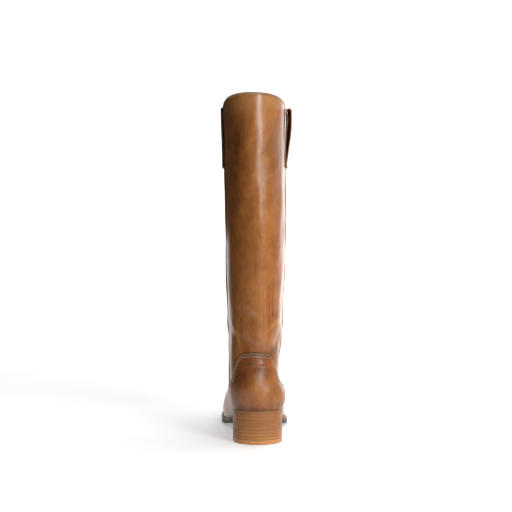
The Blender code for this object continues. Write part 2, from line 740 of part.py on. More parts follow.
make_upper()
make_sole()
make_heel()
make_edge_strip("welt", WELT_END_AROUND, 2.0 - WELT_END_AROUND, WELT_SECTIONS)
make_edge_strip("heel_rand", -RAND_END_AROUND, RAND_END_AROUND, RAND_SECTIONS)
make_overlay("counter", 0.0, around_at(SOLE_BACK + COUNTER_REACH, 0.0), counter_edge)
make_overlay("vamp", 1.0, 1.0 - around_at(SOLE_BACK + VAMP_REACH, 0.0), vamp_edge)
make_strip("side_strip_outer", 1.0)
make_strip("side_strip_inner", -1.0)
make_pull_strap("pull_strap_outer", 1.0, STRAP_STANDOFF_OUTER)
make_pull_strap("pull_strap_inner", -1.0, STRAP_STANDOFF_INNER)
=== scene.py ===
"""Dressed model of a right knee-high pull-on boot with a stacked heel.

Metres, +Z up, +Y towards the toe, +X towards the outer side of the foot, the origin on the floor
under the middle of the heel. The leather is one function of two numbers: "around" runs from the
back centre (0) over the outer side (0.5) to the front centre (1) and back over the inner side,
"level" runs from the feather edge at the sole (0) to the collar (1).
"""

from __future__ import annotations

import logging
import math
from dataclasses import dataclass
from enum import Enum
from typing import Callable, Sequence

import bpy
import bmesh
import numpy as np
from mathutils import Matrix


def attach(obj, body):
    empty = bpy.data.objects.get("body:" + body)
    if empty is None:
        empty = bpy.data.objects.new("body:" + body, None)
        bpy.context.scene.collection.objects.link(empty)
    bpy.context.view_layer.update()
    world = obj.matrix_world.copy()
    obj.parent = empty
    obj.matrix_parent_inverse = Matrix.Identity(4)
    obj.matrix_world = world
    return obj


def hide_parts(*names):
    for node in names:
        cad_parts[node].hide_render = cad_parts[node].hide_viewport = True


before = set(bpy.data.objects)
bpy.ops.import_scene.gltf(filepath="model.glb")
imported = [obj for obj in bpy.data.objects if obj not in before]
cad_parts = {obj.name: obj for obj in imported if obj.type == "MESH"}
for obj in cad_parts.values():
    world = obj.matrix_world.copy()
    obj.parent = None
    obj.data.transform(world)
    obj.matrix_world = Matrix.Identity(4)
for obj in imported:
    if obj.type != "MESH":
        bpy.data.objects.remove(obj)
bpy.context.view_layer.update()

log = logging.getLogger("knee_high_boot")

Array = np.ndarray
Colour = tuple[float, float, float]
Triple = tuple[float, float, float]
Table = Sequence[Sequence[float]]
Socket = bpy.types.NodeSocket
Material = bpy.types.Material
Piece = bpy.types.Object

BODY = "root"
EVEN = (1.0, 1.0, 1.0)
COLLAR_STITCH_DROP = 0.0014
STRAP_LIE = 0.0003  # gap between the leather and a pull strap that lies on it
WELT_FULL = 0.0066  # width at which the welt's section isn't narrowed

# Drops of an overlay's rows below its top edge, in millimetres, and insets of the welt's rows
# from its outer edge, in metres.
OVERLAY_DROPS = (0.0, 0.2, 0.5, 0.9, 1.3, 1.7, 2.1, 2.6, 3.2, 3.9, 4.5, 5.0, 5.5, 6.2, 7.0, 8.0)
WELT_INSETS = (
    0.0060, 0.0044, 0.0032, 0.0028, 0.0024, 0.0020, 0.0016, 0.0010, 0.0005, 0.0002, 0.0
)

# The sole from above and along its length, as the solids have it. station: share of the sole's
# length from the back. centre: sideways shift. widen: heel width (0) to ball width (1). pitch:
# height above the tread. spring: share of the toe spring. bulge: swell of the leather over the
# feather edge. margin: 0 as at the rand, 1 as at the welt.
SOLE_COLUMNS = ("station", "centre", "widen", "pitch", "spring", "bulge", "margin")
SOLE_TABLE = (
    (0.000, 0.000, 0.00, 1.000, 0.00, 0.205, 0.00),
    (0.090, 0.000, 0.00, 0.955, 0.00, 0.205, 0.00),
    (0.180, 0.002, -0.02, 0.880, 0.00, 0.190, 0.05),
    (0.250, 0.009, -0.09, 0.785, 0.00, 0.170, 0.25),
    (0.340, 0.018, -0.10, 0.560, 0.00, 0.130, 0.60),
    (0.430, 0.023, 0.19, 0.305, 0.00, 0.090, 0.85),
    (0.520, 0.021, 0.63, 0.105, 0.00, 0.055, 1.00),
    (0.610, 0.012, 0.94, 0.010, 0.00, 0.042, 1.00),
    (0.680, 0.002, 1.00, -0.012, 0.00, 0.040, 1.00),
    (0.760, -0.014, 0.97, 0.000, 0.03, 0.040, 1.00),
    (0.840, -0.036, 0.92, 0.000, 0.20, 0.036, 1.00),
    (0.920, -0.062, 0.88, 0.000, 0.55, 0.034, 1.00),
    (1.000, -0.090, 0.85, 0.000, 1.00, 0.034, 1.00),
)

# The leg by height: 0 at the heel seat, 1 at the ankle, 2 at the collar. back: how far the back
# stands behind the ankle. depth: ankle's (0) to calf's (1). flare: ankle's width (0) to the
# counter's (1) below the ankle and to the calf's (1) above. sway: sideways shift.
LEG_COLUMNS = ("height", "back", "depth", "flare", "sway")
LEG_TABLE = (
    (0.00, 0.24, 0.00, 0.70, 0.00),
    (0.17, 0.76, 0.00, 1.00, 0.15),
    (0.35, 1.00, 0.00, 0.85, 0.45),
    (0.58, 0.90, 0.00, 0.02, 0.85),
    (0.80, 0.56, 0.00, -0.10, 1.00),
    (1.00, 0.20, 0.00, 0.04, 0.95),
    (1.07, 0.00, 0.00, 0.14, 0.85),
    (1.15, 0.08, 0.00, 0.32, 0.68),
    (1.30, 0.33, 0.22, 0.68, 0.54),
    (1.47, 0.64, 0.50, 0.85, 0.52),
    (1.65, 0.87, 0.78, 0.98, 0.60),
    (1.83, 0.98, 0.94, 1.00, 0.74),
    (2.00, 1.00, 1.00, 1.00, 0.85),
)

# The front line. rise: toe's feather edge (0) to the instep (1). reach: ankle's front (0) to the
# toe's feather edge (1).
FRONT_COLUMNS = ("rise", "reach")
FRONT_TABLE = (
    (0.000, 1.000), (0.048, 1.016), (0.100, 1.012), (0.155, 0.975),
    (0.210, 0.895), (0.262, 0.780), (0.325, 0.615), (0.400, 0.435),
    (0.500, 0.272), (0.620, 0.145), (0.765, 0.060), (0.900, 0.018),
)

# Rings round the leather: leg height at the back, height up the front line, and how much the
# ring dips with the sole.
RING_COLUMNS = ("level", "back", "front", "follow")
RING_TABLE = (
    (0.00, 0.00, 0.00, 1.00),
    (0.05, 0.08, 0.05, 1.00),
    (0.12, 0.22, 0.12, 0.95),
    (0.20, 0.42, 0.20, 0.80),
    (0.28, 0.64, 0.28, 0.58),
    (0.36, 0.88, 0.38, 0.34),
    (0.43, 1.03, 0.53, 0.15),
    (0.50, 1.09, 0.78, 0.04),
    (0.57, 1.17, 1.03, 0.00),
    (0.70, 1.38, 1.30, 0.00),
    (0.85, 1.69, 1.65, 0.00),
    (1.00, 2.00, 2.00, 0.00),
)

# Top edge of the counter: share of its reach round the heel, share of its height at the back.
COUNTER_COLUMNS = ("reach", "height")
COUNTER_TABLE = (
    (0.00, 1.00), (0.18, 0.985), (0.30, 0.955), (0.36, 0.88),
    (0.42, 0.71), (0.50, 0.55), (0.62, 0.43), (0.80, 0.22),
    (1.00, -0.04),
)

# Top edge of the vamp: share of its reach from the front, share of its height at the instep.
VAMP_COLUMNS = ("reach", "height")
VAMP_TABLE = (
    (0.00, 1.00), (0.15, 0.94), (0.32, 0.74), (0.50, 0.50),
    (0.70, 0.26), (0.88, 0.07), (1.00, -0.04),
)

# Path of the side seams down the leather.
SEAM_COLUMNS = ("level", "around")
SEAM_TABLE = (
    (0.00, 0.325), (0.20, 0.345), (0.36, 0.405), (0.50, 0.480),
    (0.60, 0.500), (1.00, 0.500),
)

# Outer leg of a pull strap: share of its length from the fold, share of its full stand-off.
STRAP_COLUMNS = ("drop", "out")
STRAP_TABLE = (
    (0.06, 0.98), (0.20, 1.00), (0.36, 0.97), (0.54, 0.73),
    (0.71, 0.44), (0.86, 0.16), (0.94, 0.02), (1.00, 0.08),
)


@dataclass(frozen=True)
class BootSizes:
    """Driving sizes of the boot, the same as the solids have, in metres unless named a share."""

    sole_length: float = 0.2650
    ball_width: float = 0.0936
    toe_spring: float = 0.0085
    toe_rounding: float = 0.0750
    outsole: float = 0.0022
    half_sole: float = 0.0030
    half_sole_length: float = 0.1500
    half_sole_skive: float = 0.0150
    insole: float = 0.0030
    welt: float = 0.0022
    welt_margin: float = 0.0062
    welt_lean: float = 0.0014
    rand_margin: float = 0.0026
    heel_width: float = 0.0640
    heel_length: float = 0.0600
    heel_height: float = 0.0392
    heel_rounding: float = 0.0290
    heel_setback: float = 0.0030
    heel_lifts: int = 8
    top_lift: float = 0.0060
    shaft_height: float = 0.3980
    ankle_rise: float = 0.0600
    instep_rise: float = 0.1110
    vamp_taper_share: float = 0.20
    vamp_taper_rise: float = 0.0480
    counter_width: float = 0.0708
    ankle_width: float = 0.0640
    calf_width: float = 0.0788
    ankle_depth: float = 0.1160
    calf_depth: float = 0.1360
    ankle_inset: float = 0.0045
    heel_bulge: float = 0.0080
    swell_rise: float = 0.0100
    calf_sweep: float = 0.0195
    shaft_sway: float = 0.0040
    shaft_turn_slope: float = 0.06
    oval_rounding_share: float = 0.35
    collar_dip: float = 0.0095
    collar_dip_power: float = 1.6
    rim_flare_share: float = 0.030
    wall: float = 0.0020
    overlay: float = 0.0012
    overlay_gap: float = 0.0008
    overlay_end: float = 0.0080
    counter_height: float = 0.0740
    counter_reach: float = 0.0880
    vamp_height: float = 0.0840
    vamp_reach: float = 0.1000
    strip_width: float = 0.0046
    strip: float = 0.0009
    strap_width: float = 0.0240
    strap: float = 0.0013
    strap_length: float = 0.0770
    strap_below_collar: float = 0.0015
    clearance: float = 0.0003
    welt_end_around: float = 0.300
    rand_end_around: float = 0.295

    @property
    def sole_back(self) -> float:
        """Back end of the sole."""
        return -self.heel_length / 2.0 - self.heel_setback

    @property
    def sole_front(self) -> float:
        """Toe end of the sole."""
        return self.sole_back + self.sole_length

    @property
    def heel_breast(self) -> float:
        """Straight front face of the heel."""
        return self.sole_back + self.heel_length

    @property
    def seat(self) -> float:
        """Height of the heel seat."""
        return self.heel_height + self.outsole + 2.0 * self.clearance

    @property
    def tread(self) -> float:
        """Height of the feather edge at the tread."""
        return self.half_sole + self.outsole + 2.0 * self.clearance

    @property
    def ankle(self) -> float:
        """Height of the ankle."""
        return self.seat + self.ankle_rise

    @property
    def instep(self) -> float:
        """Height of the instep."""
        return self.seat + self.instep_rise

    @property
    def collar(self) -> float:
        """Height of the collar."""
        return self.seat + self.shaft_height

    @property
    def ankle_back(self) -> float:
        """Place of the back of the ankle."""
        return self.sole_back + self.ankle_inset

    @property
    def ankle_front(self) -> float:
        """Place of the front of the ankle."""
        return self.ankle_back + self.ankle_depth


def column(table: Table, names: Sequence[str], name: str) -> Array:
    """Return one named column of a table."""
    return np.array([row[names.index(name)] for row in table])


def ease(at: Array | float, low: Array | float, high: Array | float) -> Array:
    """Rise smoothly from 0 at low to 1 at high: 3t squared less 2t cubed."""
    t = np.clip((at - low) / (high - low), 0.0, 1.0)
    return t * t * (3.0 - 2.0 * t)


def mix(a: Array | float, b: Array | float, share: Array | float) -> Array:
    """Blend from a (0) to b (1)."""
    return a + (b - a) * share


def bell(at: Array, middle: Array | float, width: float) -> Array:
    """Bell curve: e to the minus square of the distance from the middle, in widths."""
    return np.exp(-(((at - middle) / width) ** 2))


def round_end(distance: Array, length: Array | float) -> Array:
    """Share of the full width at a distance from a rounded end: root of 1 less e to the minus
    (2t plus t squared), with t the distance in rounding lengths."""
    t = np.maximum(distance, 0.0) / length
    return np.sqrt(1.0 - np.exp(-2.0 * t - t * t))


def unit(vectors: Array) -> Array:
    """Scale vectors to length 1."""
    return vectors / np.maximum(np.linalg.norm(vectors, axis=-1, keepdims=True), 1e-12)


class Curve:
    """Natural cubic spline through knots, straight beyond its ends."""

    def __init__(self, knots: Array, values: Array) -> None:
        """Solve for the bends at the knots so that slope and bend are continuous."""
        self.knots = np.asarray(knots, float)
        self.values = np.asarray(values, float)
        gaps = np.diff(self.knots)
        slopes = np.diff(self.values) / gaps
        inner = np.arange(1, len(knots) - 1)
        matrix = np.eye(len(knots))
        matrix[inner, inner - 1] = gaps[:-1]
        matrix[inner, inner] = 2.0 * (gaps[:-1] + gaps[1:])
        matrix[inner, inner + 1] = gaps[1:]
        right = np.zeros(len(knots))
        right[inner] = 6.0 * np.diff(slopes)
        self.bend = np.linalg.solve(matrix, right)
        self.gaps = gaps
        self.first = slopes[0] - gaps[0] * self.bend[1] / 6.0
        self.last = slopes[-1] + gaps[-1] * self.bend[-2] / 6.0

    def __call__(self, at: Array | float) -> Array:
        """Value of the curve.

        Args:
            at: places along the knots.

        Returns:
            The cubic between the two nearest knots, or the straight line beyond the ends.
        """
        at = np.asarray(at, float)
        inside = np.clip(at, self.knots[0], self.knots[-1])
        k = np.clip(np.searchsorted(self.knots, inside, side="right") - 1, 0, len(self.gaps) - 1)
        t = (inside - self.knots[k]) / self.gaps[k]
        bends = ((1.0 - t) ** 3 - (1.0 - t)) * self.bend[k] + (t**3 - t) * self.bend[k + 1]
        line = (1.0 - t) * self.values[k] + t * self.values[k + 1]
        below = np.minimum(at - self.knots[0], 0.0) * self.first
        above = np.maximum(at - self.knots[-1], 0.0) * self.last
        return line + self.gaps[k] ** 2 / 6.0 * bends + below + above


def table_curve(table: Table, names: Sequence[str], at: str, value: str) -> Curve:
    """Curve of one column of a table over another."""
    return Curve(column(table, names, at), column(table, names, value))


class BootForm:
    """The boot's plain form: the sole's outline and the smooth leather surface."""

    STEP = 0.002  # around and level, for directions
    LEVEL_STEPS = 501
    AROUND_STEPS = 801
    COUNTER_TOP = 1.03  # leg height above which the back line follows the calf
    SHAFT_FOOT = 1.2  # leg height above which the front line follows the shaft's depth
    SAG_FROM = 0.86  # level at which the collar's dip begins
    FLARE_FROM = 0.90  # level at which the rim's flare begins
    AHEAD_DEPTH = 0.25  # share of the ankle's depth past its front where the foot is all ahead
    LEG_START = (0.15, 0.45)  # shares of the ankle's rise, at the heel and ahead
    LEG_BLEND = (0.45, 0.60)  # shares of the ankle's rise, at the heel and ahead
    OVAL_START = 0.1  # share of the ankle's rise below the ankle

    def __init__(self, sizes: BootSizes) -> None:
        """Lay the tables' columns as curves over the named sizes."""
        self.sizes = sizes
        curves = (table_curve(SOLE_TABLE, SOLE_COLUMNS, "station", n) for n in SOLE_COLUMNS[1:])
        self.sole = dict(zip(SOLE_COLUMNS[1:], curves))
        height = column(LEG_TABLE, LEG_COLUMNS, "height")
        rows = self.leg_height(height)
        self.leg = {n: Curve(rows, column(LEG_TABLE, LEG_COLUMNS, n)) for n in LEG_COLUMNS[1:]}
        backs = sizes.ankle_back - column(LEG_TABLE, LEG_COLUMNS, "back") * np.where(
            height > self.COUNTER_TOP, sizes.calf_sweep, sizes.heel_bulge
        )
        self.back_line = Curve(rows, backs)
        self.front_line = self._front_curve(height, rows, backs)
        level = column(RING_TABLE, RING_COLUMNS, "level")
        self.ring_back = Curve(level, self.leg_height(column(RING_TABLE, RING_COLUMNS, "back")))
        self.ring_front = Curve(level, self.front_height(column(RING_TABLE, RING_COLUMNS, "front")))
        self.ring_follow = table_curve(RING_TABLE, RING_COLUMNS, "level", "follow")
        self.full_oval = float(round_end(np.array(0.5), sizes.oval_rounding_share)) ** 2

    def _front_curve(self, height: Array, rows: Array, backs: Array) -> Curve:
        """Front line from the toe over the instep to the collar."""
        s = self.sizes
        low_z = self.front_height(column(FRONT_TABLE, FRONT_COLUMNS, "rise"))
        reach = column(FRONT_TABLE, FRONT_COLUMNS, "reach")
        low_y = mix(s.ankle_front, s.sole_front - s.welt_margin, reach)
        shaft = height > self.SHAFT_FOOT
        high_y = backs[shaft] + self.leg_depth(rows[shaft])
        return Curve(np.concatenate((low_z, rows[shaft])), np.concatenate((low_y, high_y)))

    def leg_height(self, share: Array | float) -> Array:
        """Height above the floor of a share of the leg: 1 at the ankle, 2 at the collar."""
        s = self.sizes
        above = np.maximum(np.asarray(share) - 1.0, 0.0) * (s.collar - s.ankle)
        return s.seat + np.minimum(share, 1.0) * (s.ankle - s.seat) + above

    def front_height(self, share: Array | float) -> Array:
        """Height above the floor of a share of the front: 1 at the instep, 2 at the collar."""
        s = self.sizes
        toe = s.tread + s.toe_spring
        above = np.maximum(np.asarray(share) - 1.0, 0.0) * (s.collar - s.instep)
        return toe + np.minimum(share, 1.0) * (s.instep - toe) + above

    def sole_value(self, y: Array | float, name: str) -> Array:
        """One column of the sole table at a place along the foot."""
        s = self.sizes
        return self.sole[name]((np.asarray(y, float) - s.sole_back) / s.sole_length)

    def feather(self, y: Array) -> Array:
        """Height of the feather edge, where the leather meets the sole."""
        s = self.sizes
        lift = self.sole_value(y, "pitch") * (s.seat - s.tread)
        return s.tread + lift + np.maximum(self.sole_value(y, "spring"), 0.0) * s.toe_spring

    def sole_middle(self, y: Array) -> Array:
        """Sideways place of the middle of the sole."""
        return self.sole_value(y, "centre") * self.sizes.ball_width

    def foot_middle(self, y: Array) -> Array:
        """Sideways place of the middle of the foot, which leans towards the inner side."""
        return self.sole_middle(y) - self.sizes.welt_lean * self.sole_value(y, "margin")

    def sole_half_width(self, y: Array) -> Array:
        """Half width of the sole before its ends are rounded."""
        s = self.sizes
        return (s.heel_width + self.sole_value(y, "widen") * (s.ball_width - s.heel_width)) / 2.0

    def sole_margin(self, y: Array) -> Array:
        """How far the sole stands out past the feather edge."""
        share = np.clip(self.sole_value(y, "margin"), 0.0, 1.0)
        return mix(self.sizes.rand_margin, self.sizes.welt_margin, share)

    def leg_depth(self, z: Array) -> Array:
        """Front to back size of the shaft at a height."""
        return mix(self.sizes.ankle_depth, self.sizes.calf_depth, self.leg["depth"](z))

    def leg_half_width(self, z: Array) -> Array:
        """Half width of the leg at a height."""
        s = self.sizes
        wide = np.where(z < s.ankle, s.counter_width, s.calf_width)
        return mix(s.ankle_width, wide, self.leg["flare"](z)) / 2.0

    def leather(self, around: Array | float, level: Array | float) -> Array:
        """Point of the smooth leather's outer face.

        The path of a ring runs from the back line to the front line. Its width is the foot's
        plan width low down and the leg's above, rounded at both ends.

        Args:
            around: places round the boot.
            level: places up the leather.

        Returns:
            Points, one for each pair, along the last axis.
        """
        s = self.sizes
        around, level = np.broadcast_arrays(np.asarray(around, float), np.asarray(level, float))
        z_back, z_front = self.ring_back(level), self.ring_front(level)
        share = (1.0 - np.cos(math.pi * around)) / 2.0
        y_back, y_front = self.back_line(z_back), self.front_line(z_front)
        y = mix(y_back, y_front, share)
        foot = self.feather(y)
        ends = mix(self.feather(y_back), self.feather(y_front), share)
        dip = self.ring_follow(level) * (foot - ends)
        hollow = (4.0 * share * (1.0 - share)) ** s.collar_dip_power
        sag = s.collar_dip * ease(level, self.SAG_FROM, 1.0) * hollow
        z = mix(z_back, z_front, share) + dip - sag
        ahead = ease(y, s.heel_breast, s.ankle_front + self.AHEAD_DEPTH * s.ankle_depth)
        start = s.seat + mix(*self.LEG_START, ahead) * s.ankle_rise
        leg = ease(z, start, start + mix(*self.LEG_BLEND, ahead) * s.ankle_rise)
        oval = ease(z, s.ankle - self.OVAL_START * s.ankle_rise, s.instep)
        swell = 1.0 + self.sole_value(y, "bulge") * np.tanh((z - foot) / s.swell_rise)
        taper = s.vamp_taper_share * ahead * ease(z - foot - s.swell_rise, 0.0, s.vamp_taper_rise)
        low = (self.sole_half_width(y) - self.sole_margin(y)) * swell * (1.0 - taper)
        high = self.leg_half_width(z) / mix(1.0, self.full_oval, oval)
        rounding = self.leg_depth(z) * s.oval_rounding_share
        half = mix(low, high, leg) * (1.0 + s.rim_flare_share * ease(level, self.FLARE_FROM, 1.0))
        half = half * round_end(y - self.back_line(z), mix(s.heel_rounding, rounding, oval))
        half = half * round_end(self.front_line(z) - y, mix(s.toe_rounding, rounding, oval))
        turn = s.shaft_turn_slope * ease(z, s.instep, s.collar) * (y - mix(y_back, y_front, 0.5))
        middle = mix(self.foot_middle(y), turn - s.shaft_sway * self.leg["sway"](z), leg)
        x = middle + np.sign(np.sin(math.pi * around)) * half
        return np.stack((x, y, z), axis=-1)

    def normal(self, around: Array | float, level: Array | float) -> Array:
        """Outward direction of the leather: across one step around and one step up."""
        around, level = np.broadcast_arrays(np.asarray(around, float), np.asarray(level, float))
        along = self.leather(around + self.STEP, level) - self.leather(around - self.STEP, level)
        low = np.maximum(level - self.STEP, 0.0)
        high = np.minimum(level + self.STEP, 1.0)
        return unit(np.cross(along, self.leather(around, high) - self.leather(around, low)))

    def level_at(self, around: Array, height: Array) -> Array:
        """Level at which the leather reaches a height, read off a fine ladder of levels.

        Args:
            around: places around, in one row.
            height: heights, whose last axis matches the places.

        Returns:
            Levels in the shape of the heights.
        """
        ladder = np.linspace(0.0, 1.0, self.LEVEL_STEPS)
        heights = self.leather(around[:, None], ladder[None, :])[..., 2]
        height = np.asarray(height)
        k = np.clip((heights < height[..., None]).sum(axis=-1) - 1, 0, len(ladder) - 2)
        place = np.arange(len(around))
        low, high = heights[place, k], heights[place, k + 1]
        t = np.clip((height - low) / np.maximum(high - low, 1e-9), 0.0, 1.0)
        return ladder[k] + t * (ladder[1] - ladder[0])

    def around_at(self, y: float, level: float) -> float:
        """Place around at which a ring reaches a distance along the foot, on the outer side."""
        places = np.linspace(0.0, 1.0, self.AROUND_STEPS)
        return float(np.interp(y, self.leather(places, level)[:, 1], places))

    def sole_edge(self, around: Array) -> Array:
        """Outline of the sole from above, at places around."""
        s = self.sizes
        share = (1.0 - np.cos(math.pi * around)) / 2.0
        y = mix(s.sole_back, s.sole_front, share)
        half = self.sole_half_width(y) * round_end(y - s.sole_back, s.heel_rounding)
        half = half * round_end(s.sole_front - y, s.toe_rounding)
        side = np.sign(np.sin(math.pi * around))
        return np.stack((self.sole_middle(y) + side * half, y), axis=-1)

    def seam_place(self, level: Array) -> Array:
        """Place around of the outer side seam at a level."""
        return table_curve(SEAM_TABLE, SEAM_COLUMNS, "level", "around")(level)


class Face(Enum):
    """Side of the shaft, with the direction that the side looks in."""

    BACK = (0.0, -1.0)
    FRONT = (0.0, 1.0)
    OUTER = (1.0, 0.0)
    INNER = (-1.0, 0.0)

    @property
    def ahead(self) -> bool:
        """Whether the side looks along the foot."""
        return self in (Face.BACK, Face.FRONT)

    def size(self, sizes: BootSizes) -> float:
        """Size of the ankle along the side, which places across are shares of."""
        return sizes.ankle_width if self.ahead else sizes.ankle_depth

    def across(self, sizes: BootSizes, points: Array) -> Array:
        """Distance of points along the side from its middle at the ankle."""
        if self.ahead:
            return points[..., 0]
        return points[..., 1] - sizes.ankle_back - 0.5 * sizes.ankle_depth

    def looks(self, normals: Array) -> Array:
        """How squarely the leather looks the side's way, at most 1."""
        return normals[..., 0] * self.value[0] + normals[..., 1] * self.value[1]


@dataclass(frozen=True)
class Fold:
    """One soft ridge (rise above 0) or trough (below 0) between two places on a side.

    Places are (across, height): across is a share of the ankle's width on the back and front
    and of its depth on the sides, height is 0 at the heel seat, 1 at the ankle, 2 at the collar.
    width and rise are in metres.
    """

    face: Face
    start: tuple[float, float]
    end: tuple[float, float]
    width: float
    rise: float


# Folds of the lower shaft and the ankle: start, end, width, rise.
FOLDS_BY_SIDE = {
    Face.BACK: (
        ((0.60, 1.135), (0.20, 1.020), 0.0064, -0.0026),
        ((0.52, 1.200), (0.10, 1.085), 0.0080, 0.0008),
        ((0.12, 1.300), (0.13, 1.060), 0.0020, 0.0005),
        ((0.19, 1.260), (0.20, 1.100), 0.0019, -0.0005),
        ((0.26, 1.280), (0.27, 1.130), 0.0021, -0.0005),
        ((0.33, 1.240), (0.34, 1.140), 0.0022, -0.0003),
        ((-0.20, 1.215), (-0.03, 1.178), 0.0024, 0.0008),
        ((-0.30, 1.205), (-0.12, 1.150), 0.0060, -0.0009),
        ((-0.26, 1.120), (-0.06, 1.085), 0.0030, 0.0005),
        ((-0.58, 1.175), (-0.45, 1.120), 0.0034, 0.0012),
        ((-0.45, 1.120), (-0.41, 1.040), 0.0034, 0.0008),
        ((-0.50, 1.105), (-0.30, 1.070), 0.0050, -0.0009),
        ((-0.34, 0.975), (0.40, 0.985), 0.0022, 0.0007),
        ((-0.36, 0.935), (0.42, 0.945), 0.0028, -0.0007),
        ((-0.10, 0.300), (0.20, 0.310), 0.0016, 0.00035),
        ((-0.06, 0.230), (0.24, 0.245), 0.0015, 0.00035),
        ((0.00, 0.160), (0.10, 0.165), 0.0014, 0.00030),
    ),
    Face.OUTER: (
        ((-0.30, 1.130), (0.26, 1.060), 0.0200, 0.0023),
        ((-0.06, 1.165), (0.46, 1.060), 0.0080, 0.0017),
        ((-0.02, 1.105), (0.50, 0.975), 0.0075, -0.0017),
        ((0.10, 1.040), (0.56, 0.870), 0.0080, 0.0016),
        ((0.14, 0.920), (0.46, 0.800), 0.0075, -0.0012),
    ),
    Face.INNER: (
        ((-0.04, 1.150), (0.44, 1.050), 0.0080, 0.0016),
        ((0.00, 1.090), (0.48, 0.950), 0.0075, -0.0016),
        ((0.12, 1.010), (0.54, 0.850), 0.0080, 0.0015),
    ),
    Face.FRONT: (
        ((-0.50, 1.130), (0.46, 1.150), 0.0070, 0.0013),
        ((-0.52, 1.085), (0.50, 1.095), 0.0065, -0.0014),
        ((-0.48, 1.035), (0.52, 1.030), 0.0065, 0.0012),
    ),
}
FOLDS = tuple(Fold(face, *row) for face, rows in FOLDS_BY_SIDE.items() for row in rows)


@dataclass(frozen=True)
class Ripples:
    """Slow unevenness of pulled leather: a few sine waves in fixed directions, summed."""

    seed: int = 11
    waves: int = 14
    shortest: float = 0.022
    longest: float = 0.085
    rise: float = 0.00011

    def __call__(self, points: Array) -> Array:
        """Rise at points: the sum of sines of the distance along each wave's direction."""
        draw = np.random.default_rng(self.seed)
        heading = unit(draw.normal(size=(self.waves, 3)) * np.array((1.0, 1.0, 0.45)))
        length = np.exp(draw.uniform(math.log(self.shortest), math.log(self.longest), self.waves))
        phase = draw.uniform(0.0, 2.0 * math.pi, self.waves)
        turns = points @ (heading / length[:, None]).T * 2.0 * math.pi + phase
        return np.sin(turns).sum(axis=-1) * self.rise


class Skin:
    """The boot's leather as worn: the smooth form with its folds and unevenness."""

    TOE_BREAKS = ((0.655, 0.00030), (0.700, 0.00042), (0.742, 0.00026))  # station, depth
    BREAK_WIDTH = 0.011  # in stations
    BREAK_BOW = 0.045
    PUCKER_RISE = 0.00022
    PUCKER_FADE = 0.0085

    def __init__(self, form: BootForm) -> None:
        """Keep the smooth form and its ripples."""
        self.form = form
        self.ripples = Ripples()

    def folds(self, points: Array, normals: Array) -> Array:
        """Rise of all folds at points.

        Each fold is a bell curve of the distance to its line, kept to the side that it lies on
        by how squarely the leather looks that way.

        Args:
            points: points of the smooth leather.
            normals: their outward directions.

        Returns:
            Rise in metres, positive outwards.
        """
        s = self.form.sizes
        z = points[..., 2]
        centre_y = (self.form.back_line(z) + self.form.front_line(z)) / 2.0
        total = np.zeros(points.shape[:-1])
        for fold in FOLDS:
            across = fold.face.across(s, points)
            if not fold.face.ahead:
                across = mix(across, points[..., 1] - centre_y, 0.5)
            a, b = (
                np.array((place * fold.face.size(s), float(self.form.leg_height(height))))
                for place, height in (fold.start, fold.end)
            )
            here = np.stack((across, z), axis=-1)
            t = np.clip(((here - a) @ (b - a)) / ((b - a) @ (b - a)), 0.0, 1.0)
            gap = np.linalg.norm(here - (a + t[..., None] * (b - a)), axis=-1)
            near = ease(fold.face.looks(normals), 0.05, 0.5)
            ends = 0.35 + 0.65 * np.sin(math.pi * np.clip(t, 0.06, 0.94))
            total += fold.rise * ends * bell(gap, 0.0, fold.width) * near
        return total

    def toe_break(self, around: Array, points: Array) -> Array:
        """Slight flex creases over the ball: three shallow troughs bowed across the vamp."""
        s = self.form.sizes
        station = (points[..., 1] - s.sole_back) / s.sole_length
        bow = self.BREAK_BOW * np.abs(around - 1.0) ** 1.5
        rise = np.zeros(station.shape)
        for place, depth in self.TOE_BREAKS:
            rise -= depth * bell(station + bow, place, self.BREAK_WIDTH)
        high = points[..., 2] - self.form.feather(points[..., 1])
        return rise * ease(high, 0.010, 0.030) * ease(np.abs(around - 1.0), 0.62, 0.30)

    def seat_puckers(self, around: Array, points: Array) -> Array:
        """Small gathers where the leather is pulled under at the heel seat: a row of short
        upright ridges round the back that die out upwards."""
        high = points[..., 2] - self.form.feather(points[..., 1])
        near = bell(high, 0.0, self.PUCKER_FADE) * ease(np.abs(around), 0.26, 0.12)
        gathers = np.sin(around * 150.0) + 0.6 * np.sin(around * 91.0 + 1.3)
        return self.PUCKER_RISE * near * gathers

    def point(
        self, around: Array | float, level: Array | float, lift: Array | float = 0.0
    ) -> Array:
        """Point on the worn leather, lifted outwards.

        Args:
            around: places round the boot.
            level: places up the leather.
            lift: distance out from the worn surface, negative for inwards.

        Returns:
            Points along the last axis.
        """
        around, level = np.broadcast_arrays(np.asarray(around, float), np.asarray(level, float))
        base = self.form.leather(around, level)
        normal = self.form.normal(around, level)
        turned = np.mod(around + 1.0, 2.0) - 1.0
        rise = self.folds(base, normal) + self.ripples(base) * ease(level, 0.04, 0.16)
        rise = rise + self.toe_break(np.mod(around, 2.0), base) + self.seat_puckers(turned, base)
        return base + normal * (rise + np.asarray(lift))[..., None]


def link_object(name: str, data: bpy.types.ID) -> Piece:
    """Make an object of the data and link it to the scene."""
    made = bpy.data.objects.new(name, data)
    bpy.context.scene.collection.objects.link(made)
    return made


